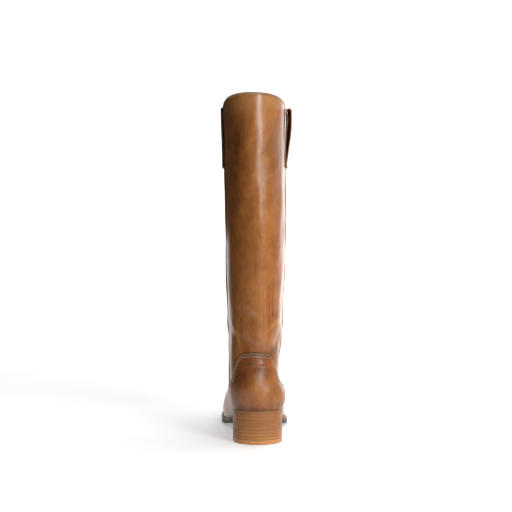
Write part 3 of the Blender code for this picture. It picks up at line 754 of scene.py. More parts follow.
def make_mesh(
    name: str, points: Array, faces: Sequence[Sequence[int]], seams: bool = False
) -> Piece:
    """Make a closed mesh that faces outwards.

    Args:
        name: the piece's name.
        points: vertices, one row each.
        faces: corner numbers of each face.
        seams: whether doubled points along a seam are merged.

    Returns:
        The new object, linked to the scene and smooth-shaded.
    """
    mesh = bpy.data.meshes.new(name)
    mesh.from_pydata(points.tolist(), [], faces)
    if seams:
        shell = bmesh.new()
        shell.from_mesh(mesh)
        bmesh.ops.remove_doubles(shell, verts=shell.verts, dist=2e-6)
        bmesh.ops.dissolve_degenerate(shell, edges=shell.edges, dist=1e-7)
        bmesh.ops.recalc_face_normals(shell, faces=shell.faces)
        shell.to_mesh(mesh)
        shell.free()
    mesh.calc_loop_triangles()
    corners = np.empty(len(mesh.loop_triangles) * 3, np.int32)
    mesh.loop_triangles.foreach_get("vertices", corners)
    places = np.empty(len(mesh.vertices) * 3)
    mesh.vertices.foreach_get("co", places)
    a, b, c = places.reshape(-1, 3)[corners.reshape(-1, 3)].transpose(1, 0, 2)
    if np.einsum("ij,ij->i", a, np.cross(b, c)).sum() < 0.0:
        mesh.flip_normals()
    mesh.shade_smooth()
    return link_object(name, mesh)


def grid_faces(rows: int, columns: int, closed_rows: bool, closed_columns: bool) -> Array:
    """Corner numbers of the four-sided faces of a grid of points, row after row."""
    j = np.arange(rows if closed_rows else rows - 1)[:, None]
    i = np.arange(columns if closed_columns else columns - 1)[None, :]
    j2, i2 = (j + 1) % rows, (i + 1) % columns
    corners = (j * columns + i, j * columns + i2, j2 * columns + i2, j2 * columns + i)
    return np.stack(corners, axis=-1).reshape(-1, 4)


def surface(
    name: str, points: Array, closed_rows: bool = False, capped: bool = False, seams: bool = False
) -> Piece:
    """Make a piece from a grid of points whose columns close on themselves.

    Args:
        name: the piece's name.
        points: rows by columns by 3.
        closed_rows: whether the last row joins the first.
        capped: whether the first and last row are closed with fans round their middles.
        seams: whether doubled points are merged.

    Returns:
        The new object.
    """
    rows, columns = points.shape[:2]
    faces = grid_faces(rows, columns, closed_rows, True).tolist()
    flat = points.reshape(-1, 3)
    if capped:
        middles = np.stack((points[0].mean(axis=0), points[-1].mean(axis=0)))
        flat = np.concatenate((flat, middles))
        i = np.arange(columns)
        k = (i + 1) % columns
        last = (rows - 1) * columns
        centre = np.full(columns, rows * columns)
        faces += np.stack((k, i, centre), axis=-1).tolist()
        faces += np.stack((last + i, last + k, centre + 1), axis=-1).tolist()
    return make_mesh(name, flat, faces, seams)


def paint_faces(piece: Piece, slots: Array, caps: int | None = None) -> None:
    """Give each face its material slot, and the fans of a capped piece the slot caps."""
    if caps is not None:
        slots = np.concatenate((slots.ravel(), np.full(2 * slots.shape[1], caps)))
    piece.data.polygons.foreach_set("material_index", slots.astype(np.int32).ravel())


def set_value(piece: Piece, name: str, values: Array) -> None:
    """Store one number for each point as an attribute that the finishes read."""
    count = len(piece.data.vertices)
    flat = np.zeros(count, np.float32)
    flat[: values.size] = values.astype(np.float32).ravel()[:count]
    layer = piece.data.attributes.new(name, "FLOAT", "POINT")
    layer.data.foreach_set("value", flat)


def fit_out(
    piece: Piece, finishes: Sequence[Material], nodes: Sequence[str] = ()
) -> Piece:
    """Hand a piece over: its finishes, its body and the solids that it stands for.

    Args:
        piece: the finished mesh.
        finishes: materials in slot order.
        nodes: solids that the piece replaces.

    Returns:
        The same piece.
    """
    for finish in finishes:
        piece.data.materials.append(finish)
    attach(piece, BODY)
    if nodes:
        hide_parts(*nodes)
    log.info("made %s with %d points", piece.name, len(piece.data.vertices))
    return piece


@dataclass(frozen=True)
class ToneAndPaintedLightSpot:
    """A soft patch of lighter (tone above 0) or darker (below 0) colour on the leather. Some
    patches are the leather's own burnish, others are painted highlights and painted shade.

    warm above 0 turns it towards orange, and below 0 towards a pale painted sheen. across and
    height are places as in Fold, wide and tall its half sizes in metres. lean is how far it moves
    across for one unit up.
    """

    face: Face
    across: float
    height: float
    wide: float
    tall: float
    tone: float
    warm: float = 0.0
    lean: float = 0.0


# Tone patches: across, height, wide, tall, tone, warm, lean. Most are the leather's uneven
# burnish; the rest are painted light: a pale painted sheen at the top of the back, painted shade
# down its left edge and down the right of the lower shaft, a painted highlight down its middle,
# painted highlights and shade at the ankle's folds and dents, and painted shade and a painted
# highlight along a wrinkle on the counter.
TONES_AND_PAINTED_LIGHT_BY_SIDE = {
    Face.BACK: (
        # The next six patches are painted light: a pale painted sheen at the top, painted shade
        # down the left edge and a painted highlight down the middle.
        (0.05, 1.98, 0.044, 0.018, 0.30, -0.80),
        (0.10, 1.87, 0.030, 0.045, -0.15, -0.30),
        (-0.42, 1.84, 0.009, 0.050, -0.80),
        (-0.27, 1.77, 0.012, 0.034, -0.35),
        (-0.46, 1.62, 0.009, 0.060, -0.50),
        (0.00, 1.82, 0.014, 0.050, 0.60),
        (0.22, 1.93, 0.012, 0.016, 0.30),
        (0.33, 1.82, 0.011, 0.040, -0.45),
        (0.26, 1.62, 0.012, 0.060, 0.05),
        (0.14, 1.48, 0.012, 0.060, 0.45),
        (-0.30, 1.38, 0.014, 0.070, -0.20),
        (0.22, 1.30, 0.012, 0.060, 0.10),
        (0.36, 1.20, 0.010, 0.020, -0.30),
        # The next two are painted light: painted shade in a dent and a painted highlight on a
        # ridge.
        (-0.16, 1.15, 0.014, 0.020, -0.25),
        (0.20, 1.10, 0.012, 0.012, 0.35),
        (0.32, 1.045, 0.010, 0.008, -0.60),
        (-0.02, 1.26, 0.012, 0.032, 0.35),
        (0.30, 0.72, 0.005, 0.006, 0.10, 0.70),
        (0.20, 0.97, 0.012, 0.006, 0.00, 0.60),
        (-0.10, 1.885, 0.005, 0.014, 0.10, 0.70),
        (0.34, 1.930, 0.008, 0.007, 0.10, 0.80),
        # Painted shade down the right of the lower shaft.
        (0.37, 1.42, 0.005, 0.050, -0.55, 0.35),
        (0.22, 1.22, 0.010, 0.016, 0.00, 0.40),
        (-0.10, 0.95, 0.030, 0.016, -0.30),
        (-0.36, 0.45, 0.010, 0.030, -0.50, 0.10),
        # The next eight are painted light at the ankle's folds: thin painted highlights and painted
        # shade in streaks and strokes.
        (0.125, 1.19, 0.0011, 0.030, 0.70),
        (0.060, 1.20, 0.0012, 0.034, 0.45),
        (0.200, 1.20, 0.0026, 0.026, -0.40),
        (0.285, 1.21, 0.0026, 0.020, -0.32),
        (0.350, 1.15, 0.0030, 0.010, 1.30, 0.0, 1.1),
        (-0.130, 1.20, 0.0022, 0.007, 0.70, 0.0, -1.2),
        (-0.400, 1.09, 0.0016, 0.012, 0.80, 0.0, -0.25),
        (-0.330, 1.16, 0.0024, 0.024, -0.60),
        # The next three are painted shade and a painted highlight along a wrinkle on the counter.
        (0.00, 0.955, 0.020, 0.0014, -0.70),
        (0.05, 0.925, 0.018, 0.0020, 0.45, 0.35),
        (-0.02, 0.895, 0.016, 0.0016, -0.45),
        (-0.30, 0.66, 0.012, 0.020, -0.40),
        (0.02, 0.45, 0.024, 0.014, 0.35),
    ),
    Face.OUTER: (
        (0.10, 1.70, 0.030, 0.060, -0.35),
        (-0.20, 1.30, 0.030, 0.050, 0.35),
    ),
    Face.INNER: (
        (0.15, 1.55, 0.030, 0.070, -0.35),
        (-0.10, 1.85, 0.025, 0.040, -0.20),
    ),
    Face.FRONT: (
        (0.10, 1.75, 0.018, 0.050, -0.40),
        (-0.15, 1.45, 0.018, 0.060, 0.35),
    ),
}
TONES_AND_PAINTED_LIGHT = tuple(ToneAndPaintedLightSpot(face, *row) for face, rows in TONES_AND_PAINTED_LIGHT_BY_SIDE.items() for row in rows)


def tone_and_painted_light(form: BootForm, points: Array, normals: Array) -> Array:
    """Tone and warmth on the leather, its own burnish together with painted highlights, shade and
    sheen: bell-shaped patches, each kept to its side.

    Args:
        form: the smooth form.
        points: points of the smooth leather.
        normals: their outward directions.

    Returns:
        Two layers, tone first, in the shape of the points.
    """
    s = form.sizes
    tone = np.zeros((2,) + points.shape[:-1])
    for spot in TONES_AND_PAINTED_LIGHT:
        across = spot.face.across(s, points)
        up = points[..., 2] - form.leg_height(spot.height)
        u = (across - spot.across * spot.face.size(s) - spot.lean * up) / spot.wide
        v = up / spot.tall
        patch = np.exp(-(u * u + v * v)) * ease(spot.face.looks(normals), 0.0, 0.5)
        tone += np.stack((spot.tone * patch, spot.warm * patch))
    return tone


def set_stops(ramp: bpy.types.Node, stops: Sequence[tuple[float, Colour]]) -> None:
    """Give a colour ramp its stops, each (place, colour)."""
    bar = ramp.color_ramp.elements
    while len(bar) < len(stops):
        bar.new(0.5)
    for stop, (place, colour) in zip(bar, stops):
        stop.position = place
        stop.color = (*colour, 1.0)


class Shader:
    """Short-hand for laying a material's nodes."""

    def __init__(
        self, name: str, roughness: float, coat: float = 0.0, coat_roughness: float = 0.1
    ) -> None:
        """Start a material with a Principled shader and its plain numbers."""
        self.material = bpy.data.materials.new(name)
        self.material.use_nodes = True
        self.tree = self.material.node_tree
        self.surface = self.tree.nodes["Principled BSDF"]
        self.surface.inputs["Roughness"].default_value = roughness
        self.surface.inputs["Coat Weight"].default_value = coat
        self.surface.inputs["Coat Roughness"].default_value = coat_roughness
        self.place = self.node("ShaderNodeTexCoord").outputs["Object"]

    def node(self, kind: str, **settings: object) -> bpy.types.Node:
        """Add a node and set its properties."""
        made = self.tree.nodes.new(kind)
        for key, value in settings.items():
            setattr(made, key, value)
        return made

    def link(self, source: Socket, target: Socket) -> None:
        """Join two sockets."""
        self.tree.links.new(source, target)

    def stretched(self, scale: Triple) -> Socket:
        """Object coordinates scaled along each axis."""
        mapping = self.node("ShaderNodeMapping")
        mapping.inputs["Scale"].default_value = scale
        self.link(self.place, mapping.inputs["Vector"])
        return mapping.outputs["Vector"]

    def coordinate(self, axis: str) -> Socket:
        """One object coordinate of the point."""
        parts = self.node("ShaderNodeSeparateXYZ")
        self.link(self.place, parts.inputs["Vector"])
        return parts.outputs[axis]

    def noise(
        self, size: float, detail: float = 3.0, stretch: Triple = EVEN, rough: float = 0.5
    ) -> Socket:
        """Noise whose patches are about size metres across, divided by stretch along each axis."""
        made = self.node("ShaderNodeTexNoise")
        made.inputs["Scale"].default_value = 1.0 / size
        made.inputs["Detail"].default_value = detail
        made.inputs["Roughness"].default_value = rough
        self.link(self.stretched(stretch), made.inputs["Vector"])
        return made.outputs["Fac"]

    def value(self, name: str) -> Socket:
        """Attribute that the mesh carries."""
        return self.node("ShaderNodeAttribute", attribute_name=name).outputs["Fac"]

    def maths(
        self, operation: str, a: Socket | float, b: Socket | float = 0.0, c: Socket | float = 0.0
    ) -> Socket:
        """Arithmetic on sockets or plain numbers."""
        made = self.node("ShaderNodeMath", operation=operation)
        for socket, given in zip(made.inputs, (a, b, c)):
            if isinstance(given, Socket):
                self.link(given, socket)
            else:
                socket.default_value = float(given)
        return made.outputs[0]

    def band(self, source: Socket, low: float, high: float) -> Socket:
        """Rise smoothly from 0 to 1 as the source goes from low to high."""
        made = self.node("ShaderNodeMapRange", interpolation_type="SMOOTHSTEP")
        self.link(source, made.inputs["Value"])
        made.inputs["From Min"].default_value = low
        made.inputs["From Max"].default_value = high
        return made.outputs["Result"]

    def ramp(self, source: Socket, stops: Sequence[tuple[float, Colour]]) -> Socket:
        """Colours along the source's value."""
        made = self.node("ShaderNodeValToRGB")
        set_stops(made, stops)
        self.link(source, made.inputs["Fac"])
        return made.outputs["Color"]

    def blend(self, under: Socket, over: Colour, share: Socket) -> Socket:
        """Mix a plain colour over another by a share."""
        made = self.node("ShaderNodeMix", data_type="RGBA")
        self.link(share, made.inputs["Factor"])
        self.link(under, made.inputs["A"])
        made.inputs["B"].default_value = (*over, 1.0)
        return made.outputs["Result"]

    def finish(
        self,
        colour: Socket,
        roughness: Socket | None = None,
        bumps: Sequence[tuple[Socket, float, float]] = (),
    ) -> Material:
        """Join the colour, the roughness and a chain of bumps, each (height, strength, depth).

        Returns:
            The finished material.
        """
        self.link(colour, self.surface.inputs["Base Color"])
        if roughness is not None:
            self.link(roughness, self.surface.inputs["Roughness"])
        previous = None
        for height, strength, depth in bumps:
            bump = self.node("ShaderNodeBump")
            bump.inputs["Strength"].default_value = strength
            bump.inputs["Distance"].default_value = depth
            self.link(height, bump.inputs["Height"])
            if previous is not None:
                self.link(previous, bump.inputs["Normal"])
            previous = bump.outputs["Normal"]
        if previous is not None:
            self.link(previous, self.surface.inputs["Normal"])
        return self.material


@dataclass(frozen=True)
class LeatherFinish:
    """Burnished leather: mottled browns over listed tones and painted light, fine pores and a waxed
    gloss.
    """

    name: str
    dark: Colour = (0.070, 0.020, 0.005)
    brown: Colour = (0.186, 0.060, 0.012)
    middle: Colour = (0.318, 0.112, 0.023)
    gold: Colour = (0.455, 0.178, 0.042)
    orange: Colour = (0.450, 0.105, 0.015)
    # pale colour for a painted sheen
    painted_sheen: Colour = (0.520, 0.285, 0.130)
    lightness: float = 0.50
    roughness: float = 0.33
    coat: float = 0.30

    def build(self) -> Material:
        """Lay the finish: broad and small mottling move the tone, which picks the colour.

        Returns:
            The material.
        """
        m = Shader(self.name, self.roughness, self.coat, 0.26)
        broad = m.noise(0.046, 3.0, (1.0, 1.0, 0.55))
        cloud = m.noise(0.013, 4.0, (1.0, 1.0, 0.7), 0.6)
        blot = m.noise(0.0062, 3.0, (1.0, 1.0, 0.6), 0.55)
        speck = m.noise(0.0028, 3.0)
        # the tone attribute carries the leather's burnish and also painted highlights and shade
        tone = m.maths("MULTIPLY_ADD", m.value("tone"), 0.30, self.lightness)
        for layer, depth in ((broad, 0.50), (cloud, 0.50), (blot, 0.34), (speck, 0.18)):
            tone = m.maths("ADD", tone, m.maths("MULTIPLY_ADD", layer, depth, -0.5 * depth))
        tone = m.maths("MULTIPLY_ADD", m.value("edge"), -0.26, tone)
        stops = ((0.02, self.dark), (0.28, self.brown), (0.56, self.middle), (0.86, self.gold))
        colour = m.ramp(tone, stops)
        patches = m.maths("MULTIPLY", m.value("warm"), m.band(cloud, 0.30, 0.62))
        colour = m.blend(colour, self.orange, patches)
        # where warm is below 0 the colour turns towards the pale painted sheen
        colour = m.blend(colour, self.painted_sheen, m.maths("MULTIPLY", m.value("warm"), -0.36))
        gloss = m.maths("MULTIPLY_ADD", blot, 0.24, self.roughness - 0.12)
        gloss = m.maths("MULTIPLY_ADD", speck, 0.08, m.maths("SUBTRACT", gloss, 0.04))
        pores = m.noise(0.00055, 2.0)
        grain = m.noise(0.0019, 3.0, (1.0, 1.0, 0.8), 0.6)
        waves = m.noise(0.016, 2.0, (1.0, 1.0, 0.6))
        bumps = ((waves, 0.35, 0.0026), (grain, 0.22, 0.0005), (pores, 0.05, 0.0002))
        return m.finish(colour, gloss, bumps)


@dataclass(frozen=True)
class PlainLeather:
    """Matt leather or board: one colour broken by two sizes of cloud, with soft grain."""

    name: str
    light: Colour
    dark: Colour
    roughness: float = 0.6
    cloud: float = 0.012
    layers: float = 0.0
    seams: float = 0.35
    ahead: float | None = None

    def build(self) -> Material:
        """Lay the finish; layers above 0 adds fine level lines of that pitch in metres, and
        ahead is the place along the foot past which the leather is stained dark.

        Returns:
            The material.
        """
        m = Shader(self.name, self.roughness, coat_roughness=0.2)
        cloud = m.noise(self.cloud, 3.0, (0.4, 0.4, 2.0) if self.layers else EVEN, 0.6)
        fibre = m.noise(0.0012, 3.0, (0.12, 0.12, 3.0) if self.layers else EVEN, 0.6)
        share = m.maths("MULTIPLY_ADD", fibre, 0.5, m.maths("MULTIPLY", cloud, 0.6))
        share = m.maths("ADD", share, m.maths("MULTIPLY", m.value("edge"), self.seams))
        share = m.band(share, 0.30, 0.85)
        if self.ahead is not None:
            stain = m.band(m.coordinate("Y"), self.ahead - 0.006, self.ahead + 0.006)
            share = m.maths("MULTIPLY", share, 0.45)
            share = m.maths("MAXIMUM", share, m.maths("MULTIPLY", stain, 0.9))
        if self.layers:
            height = m.coordinate("Z")
            wobble = m.maths("MULTIPLY_ADD", cloud, self.layers * 0.10, height)
            ripple = m.maths("SINE", m.maths("MULTIPLY", wobble, 2.0 * math.pi / self.layers))
            line = m.band(ripple, 0.80, 0.98)
            share = m.maths("MAXIMUM", share, m.maths("MULTIPLY", line, 0.20))
            share = m.maths("ADD", share, m.maths("MULTIPLY", m.band(height, 0.006, 0.026), 0.45))
        colour = m.ramp(share, ((0.0, self.light), (1.0, self.dark)))
        gloss = m.maths("MULTIPLY_ADD", cloud, 0.16, self.roughness - 0.08)
        return m.finish(colour, gloss, ((fibre, 0.25, 0.0004), (cloud, 0.15, 0.0010)))


@dataclass(frozen=True)
class Rubber:
    """Dull rubber with dust and, on a tread, fine crossing ribs."""

    name: str
    light: Colour
    dark: Colour
    tread: float = 0.0

    def build(self) -> Material:
        """Lay the finish.

        Returns:
            The material.
        """
        m = Shader(self.name, 0.62)
        dust = m.noise(0.010, 4.0, EVEN, 0.65)
        fine = m.noise(0.0008, 2.0)
        share = m.band(m.maths("MULTIPLY_ADD", fine, 0.25, dust), 0.42, 0.86)
        share = m.maths("MAXIMUM", share, m.maths("MULTIPLY", m.value("edge"), 0.6))
        colour = m.ramp(share, ((0.0, self.dark), (1.0, self.light)))
        gloss = m.maths("MULTIPLY_ADD", dust, 0.2, 0.50)
        bumps = [(fine, 0.30, 0.0003)]
        if self.tread:
            turns = 2.0 * math.pi / self.tread
            one, two = (
                m.maths("SINE", m.maths("MULTIPLY", m.coordinate(axis), turns)) for axis in "XY"
            )
            bumps.append((m.band(m.maths("MULTIPLY", one, two), -0.2, 0.4), 0.6, 0.0008))
        return m.finish(colour, gloss, bumps)


@dataclass(frozen=True)
class Thread:
    """Twisted thread: pale strands with a slanting twist and a little dirt."""

    name: str
    light: Colour
    dark: Colour

    def build(self) -> Material:
        """Lay the finish.

        Returns:
            The material.
        """
        m = Shader(self.name, 0.72)
        dirt = m.noise(0.009, 3.0)
        twist = m.node("ShaderNodeTexWave", wave_type="BANDS", bands_direction="DIAGONAL")
        twist.inputs["Scale"].default_value = 620.0
        m.link(m.place, twist.inputs["Vector"])
        share = m.band(m.maths("MULTIPLY_ADD", twist.outputs["Fac"], 0.25, dirt), 0.36, 0.86)
        colour = m.ramp(share, ((0.0, self.dark), (1.0, self.light)))
        gloss = m.maths("MULTIPLY_ADD", dirt, 0.2, 0.6)
        return m.finish(colour, gloss, ((twist.outputs["Fac"], 0.5, 0.0002),))


class Finishes:
    """Every material of the boot, made once."""

    def __init__(self) -> None:
        """Build the materials."""
        self.upper = LeatherFinish("burnished_leather").build()
        self.counter = LeatherFinish(
            "counter_leather", lightness=0.43, roughness=0.35, coat=0.08
        ).build()
        self.vamp = LeatherFinish("vamp_leather").build()
        self.strip = LeatherFinish(
            "strip_leather", lightness=0.66, roughness=0.40, coat=0.15
        ).build()
        self.strap = LeatherFinish("strap_leather", lightness=0.56, roughness=0.36).build()
        # near-black leather for the straps' inner faces: painted shade inside the loops
        self.strap_under_painted_shade = LeatherFinish(
            "strap_underside_painted_shade", lightness=0.06, roughness=0.6, coat=0.0
        ).build()
        # dark edge paint; on the counter's folded top edge and on the inner strap it is painted
        # shade
        self.edge = PlainLeather(
            "edge_paint_and_shade", (0.060, 0.024, 0.012), (0.020, 0.009, 0.006), 0.45
        ).build()
        # pale edge for the outer strap: a painted highlight on its cut edges
        self.edge_with_painted_highlight = PlainLeather(
            "edge_with_painted_highlight", (0.84, 0.66, 0.50), (0.58, 0.40, 0.26), 0.5, 0.006
        ).build()
        self.lining = PlainLeather(
            "lining_leather", (0.62, 0.44, 0.25), (0.40, 0.25, 0.12), 0.68
        ).build()
        self.insole = PlainLeather(
            "insole_leather", (0.60, 0.42, 0.24), (0.34, 0.20, 0.10), 0.62
        ).build()
        self.welt = PlainLeather(
            "welt_leather", (0.56, 0.36, 0.18), (0.24, 0.12, 0.05), 0.55, 0.006
        ).build()
        self.rand = PlainLeather(
            "rand_leather", (0.33, 0.135, 0.038), (0.16, 0.062, 0.020), 0.50, 0.006
        ).build()
        self.outsole = PlainLeather(
            "outsole_leather",
            (0.36, 0.150, 0.042),
            (0.050, 0.028, 0.016),
            0.50,
            0.008,
            seams=0.10,
            ahead=0.030,
        ).build()
        self.stack = PlainLeather(
            "stacked_leather",
            (0.47, 0.200, 0.053),
            (0.275, 0.103, 0.026),
            0.48,
            0.008,
            layers=0.0016,
            seams=0.45,
        ).build()
        self.half_sole = Rubber(
            "half_sole_rubber", (0.10, 0.095, 0.088), (0.022, 0.021, 0.020), 0.0042
        ).build()
        self.top_lift = PlainLeather(
            "top_lift_rubber", (0.57, 0.255, 0.088), (0.44, 0.185, 0.058), 0.50, 0.010
        ).build()
        self.thread = Thread("cream_thread", (0.84, 0.72, 0.50), (0.55, 0.38, 0.19)).build()
        self.welt_thread = Thread("welt_thread", (0.72, 0.60, 0.42), (0.40, 0.28, 0.15)).build()
        # near-black beads between the stitches: painted shade in the needle holes
        self.hole_shade = PlainLeather(
            "needle_hole_painted_shade", (0.020, 0.009, 0.005), (0.008, 0.004, 0.003), 0.8, 0.002
        ).build()


@dataclass
class Shell:
    """The upper as one closed shell: worn outer face, dark rounded rim and pale lining."""

    skin: Skin
    finishes: Finishes
    columns: int = 320
    foot_rows: int = 96
    shaft_rows: int = 100
    rim_rows: int = 9
    lining_rows: int = 40
    top_rows: int = 15
    shaft_from: float = 0.57
    shaft_levels: float = 0.430
    rim_from: float = 0.985

    def build(self) -> Piece:
        """Make the shell: rows run up the outside, over the rim and down the lining.

        Returns:
            The piece.
        """
        form, s = self.skin.form, self.skin.form.sizes
        around = (np.arange(self.columns) * 2.0 / self.columns)[None, :]
        outer = np.concatenate(
            (
                np.linspace(0.0, self.shaft_from, self.foot_rows, endpoint=False),
                np.linspace(self.shaft_from, self.rim_from, self.shaft_rows, endpoint=False),
                np.linspace(self.rim_from, 1.0, self.top_rows),
            )
        )[:, None]
        shaft_foot = float(form.leather(0.5, self.shaft_from)[2])
        drop = (1.0 - outer) / self.shaft_levels * (s.collar - shaft_foot)
        groove = -0.00022 * bell(drop, COLLAR_STITCH_DROP, 0.0006)
        face = self.skin.point(around, outer, groove)
        turn = np.linspace(0.0, math.pi, self.rim_rows + 2)[1:-1][:, None]
        rim = self.skin.point(around, 1.0, -s.wall / 2.0 * (1.0 - np.cos(turn)))
        rim[..., 2] += s.wall * 0.42 * np.sin(turn)
        inner = np.linspace(1.0, 0.0, self.lining_rows)[:, None]
        lining = self.skin.point(around, inner, -s.wall)
        piece = surface("dressed_upper", np.concatenate((face, rim, lining)), closed_rows=True)
        rows = len(face) + len(rim) + len(lining)
        slots = np.zeros((rows, self.columns))
        slots[len(face) - 1 : len(face) + len(rim)] = 1
        slots[len(face) + len(rim) : -1] = 2
        paint_faces(piece, slots)
        plain = form.leather(around, outer)
        tone = tone_and_painted_light(form, plain, form.normal(around, outer))
        high = plain[..., 2] - form.feather(plain[..., 1])
        edge = 0.6 * bell(drop, 0.0, 0.0016) + 0.7 * bell(high, 0.0, 0.008)
        set_value(piece, "tone", tone[0])
        set_value(piece, "warm", tone[1])
        set_value(piece, "edge", np.broadcast_to(edge, tone[0].shape))
        f = self.finishes
        return fit_out(piece, (f.upper, f.rand, f.lining), ("upper",))


class Edging:
    """Heights of the top edges of the two overlays."""

    def __init__(self, form: BootForm) -> None:
        """Read the edges' tables."""
        self.form = form
        s = form.sizes
        self.counter_reach = form.around_at(s.sole_back + s.counter_reach, 0.0)
        self.vamp_reach = 1.0 - form.around_at(s.sole_back + s.vamp_reach, 0.0)
        self.counter_curve = table_curve(COUNTER_TABLE, COUNTER_COLUMNS, "reach", "height")
        self.vamp_curve = table_curve(VAMP_TABLE, VAMP_COLUMNS, "reach", "height")

    def _edge(self, around: Array, share: Array, curve: Curve, height: float) -> Array:
        """Height of an edge, never nearer the feather edge than its end."""
        s = self.form.sizes
        foot = self.form.leather(around, 0.0)[..., 2]
        return np.maximum(s.seat + curve(share) * height, foot + s.overlay_end)

    def counter(self, around: Array) -> Array:
        """Height of the counter's top edge at places around."""
        share = np.abs(around) / self.counter_reach
        return self._edge(around, share, self.counter_curve, self.form.sizes.counter_height)

    def vamp(self, around: Array) -> Array:
        """Height of the vamp's top edge at places around."""
        share = np.abs(around - 1.0) / self.vamp_reach
        return self._edge(around, share, self.vamp_curve, self.form.sizes.vamp_height)


@dataclass
class Overlay:
    """A piece of leather laid over the upper, from the welt up to its own curved top edge."""

    name: str
    node: str
    skin: Skin
    middle: float
    reach: float
    edge: Callable[[Array], Array]
    finish: Material
    edge_finish: Material
    sections: int = 260
    lower_rows: int = 34
    thickness: float = 0.0017
    stitch_drops: tuple[float, ...] = (0.0017, 0.0050)

    def slope(self, around: Array) -> Array:
        """Drop for one unit square to the top edge: root of 1 plus its rise over run squared."""
        line = self.skin.form.leather(around, self.skin.form.level_at(around, self.edge(around)))
        run = np.linalg.norm(np.gradient(line[:, :2], axis=0), axis=-1)
        steep = np.hypot(1.0, np.gradient(self.edge(around)) / run)
        spread = bell(np.linspace(-2.0, 2.0, 9), 0.0, 1.0)
        return np.convolve(np.pad(steep, 4, mode="edge"), spread / spread.sum(), mode="valid")

    def build(self) -> Piece:
        """Make the overlay: sections round the foot, each a loop up the outer face, over the
        cut edge and down the hidden face.

        Returns:
            The piece.
        """
        form, s = self.skin.form, self.skin.form.sizes
        around = self.middle + self.reach * np.linspace(-1.0, 1.0, self.sections)
        top = self.edge(around)
        low = form.leather(around, 0.0)[..., 2] + s.welt - 0.0004
        near = np.array(OVERLAY_DROPS) * 0.001
        span = (top - low)[None, :]
        steep = self.slope(around)[None, :]
        drop = near[:, None] * steep * np.minimum(1.0, 0.8 * span / (near[-1] * steep))
        rest = mix(drop[-1], span, np.linspace(0.0, 1.0, self.lower_rows)[1:, None])
        drop = np.concatenate((drop, rest))[::-1]
        levels = form.level_at(around, top[None, :] - drop)
        away = drop / steep
        lift = self.thickness - 0.00045 * bell(away, 0.0, 0.0005)
        for row in self.stitch_drops:
            lift = lift - 0.00028 * bell(away, row, 0.0005)
        face = self.skin.point(around[None, :], levels, lift)
        lip = levels[-1:, :].repeat(3, axis=0)
        cut = self.skin.point(around[None, :], lip, np.array((0.0009, 0.0004, -0.0004))[:, None])
        cut[:2, :, 2] += np.array((0.00012, 0.00008))[:, None]
        back = self.skin.point(around[None, :], levels[::-4][1:], -0.0005)
        loop = np.concatenate((face, cut, back)).transpose(1, 0, 2)
        piece = surface(self.name, loop, capped=True)
        slots = np.zeros((self.sections - 1, loop.shape[1]))
        # the cut edge takes the dark edge material; on the counter it is painted shade under the
        # folded top edge
        slots[:, len(face) - 1 : len(face) + 2] = 1
        paint_faces(piece, slots, 1)
        plain = form.leather(around[None, :], levels)
        tone = tone_and_painted_light(form, plain, form.normal(around[None, :], levels))
        edge = bell(away, 0.0, 0.0016) + 0.35 * bell(away, 0.0034, 0.0022)
        edge = edge + 0.8 * bell(span - drop, 0.0, 0.007)
        values = np.zeros((3,) + loop.shape[:2])
        for layer, given in zip(values, (tone[0], tone[1], edge)):
            layer[:, : len(face)] = given.T
        for name, layer in zip(("tone", "warm", "edge"), values):
            set_value(piece, name, layer)
        return fit_out(piece, (self.finish, self.edge_finish), (self.node,))


@dataclass
class SideStrip:
    """Raised seam strip down one side of the shaft, domed a little and sewn at both edges."""

    name: str
    node: str
    side: float
    skin: Skin
    edging: Edging
    finishes: Finishes
    rows: int = 220
    thickness: float = 0.0013
    stitch_across: float = 0.60

    def run(self) -> tuple[Array, Array, Array]:
        """Levels, middles around and half widths around of the strip, from its foot up."""
        form, s = self.skin.form, self.skin.form.sizes
        levels = np.linspace(0.1, 1.0, 601)
        middle = form.seam_place(levels)
        height = form.leather(middle, levels)[..., 2]
        low = levels[np.argmax(height - self.edging.counter(middle) > s.strip_width * 0.2)]
        foot_of_strap = height[-1] - s.strap_below_collar - s.strap_length
        high = float(np.interp(foot_of_strap + 0.004, height, levels))
        levels = np.linspace(low, high, self.rows)
        middle = form.seam_place(levels)
        step = form.STEP
        girth = form.leather(middle + step, levels) - form.leather(middle - step, levels)
        half = s.strip_width / 2.0 / np.linalg.norm(girth, axis=-1) * 2.0 * step
        return levels, middle * self.side, half

    def build(self) -> Piece:
        """Make the strip: each row is a loop over its domed top and under its flat back.

        Returns:
            The piece.
        """
        levels, middle, half = self.run()
        over = np.array((-1.0, -0.985, -0.94, -0.82, -0.66, -0.50, -0.36, -0.18, 0.0))
        over = np.concatenate((over, -over[-2::-1]))
        dome = 0.00035 * (1.0 - over**2) - 0.0006 * np.abs(over) ** 14
        groove = -0.0003 * bell(np.abs(over), self.stitch_across, 0.14)
        top = self.thickness - 0.00035 + dome + groove
        across = np.concatenate((over, (1.0, -1.0)))
        lift = np.concatenate((top, (-0.0003, -0.0003)))
        points = self.skin.point(middle[:, None] + half[:, None] * across, levels[:, None], lift)
        piece = surface(self.name, points, capped=True)
        slots = np.zeros((self.rows - 1, len(across)))
        slots[:, len(over) - 1 :] = 1
        paint_faces(piece, slots, 1)
        plain = self.skin.form.leather(middle[:, None] + 0.0 * across, levels[:, None])
        normal = self.skin.form.normal(middle[:, None] + 0.0 * across, levels[:, None])
        set_value(piece, "tone", tone_and_painted_light(self.skin.form, plain, normal)[0])
        set_value(piece, "edge", np.broadcast_to(np.abs(across) ** 6 * 0.3, plain.shape[:2]))
        f = self.finishes
        return fit_out(piece, (f.strip, f.edge), (self.node,))


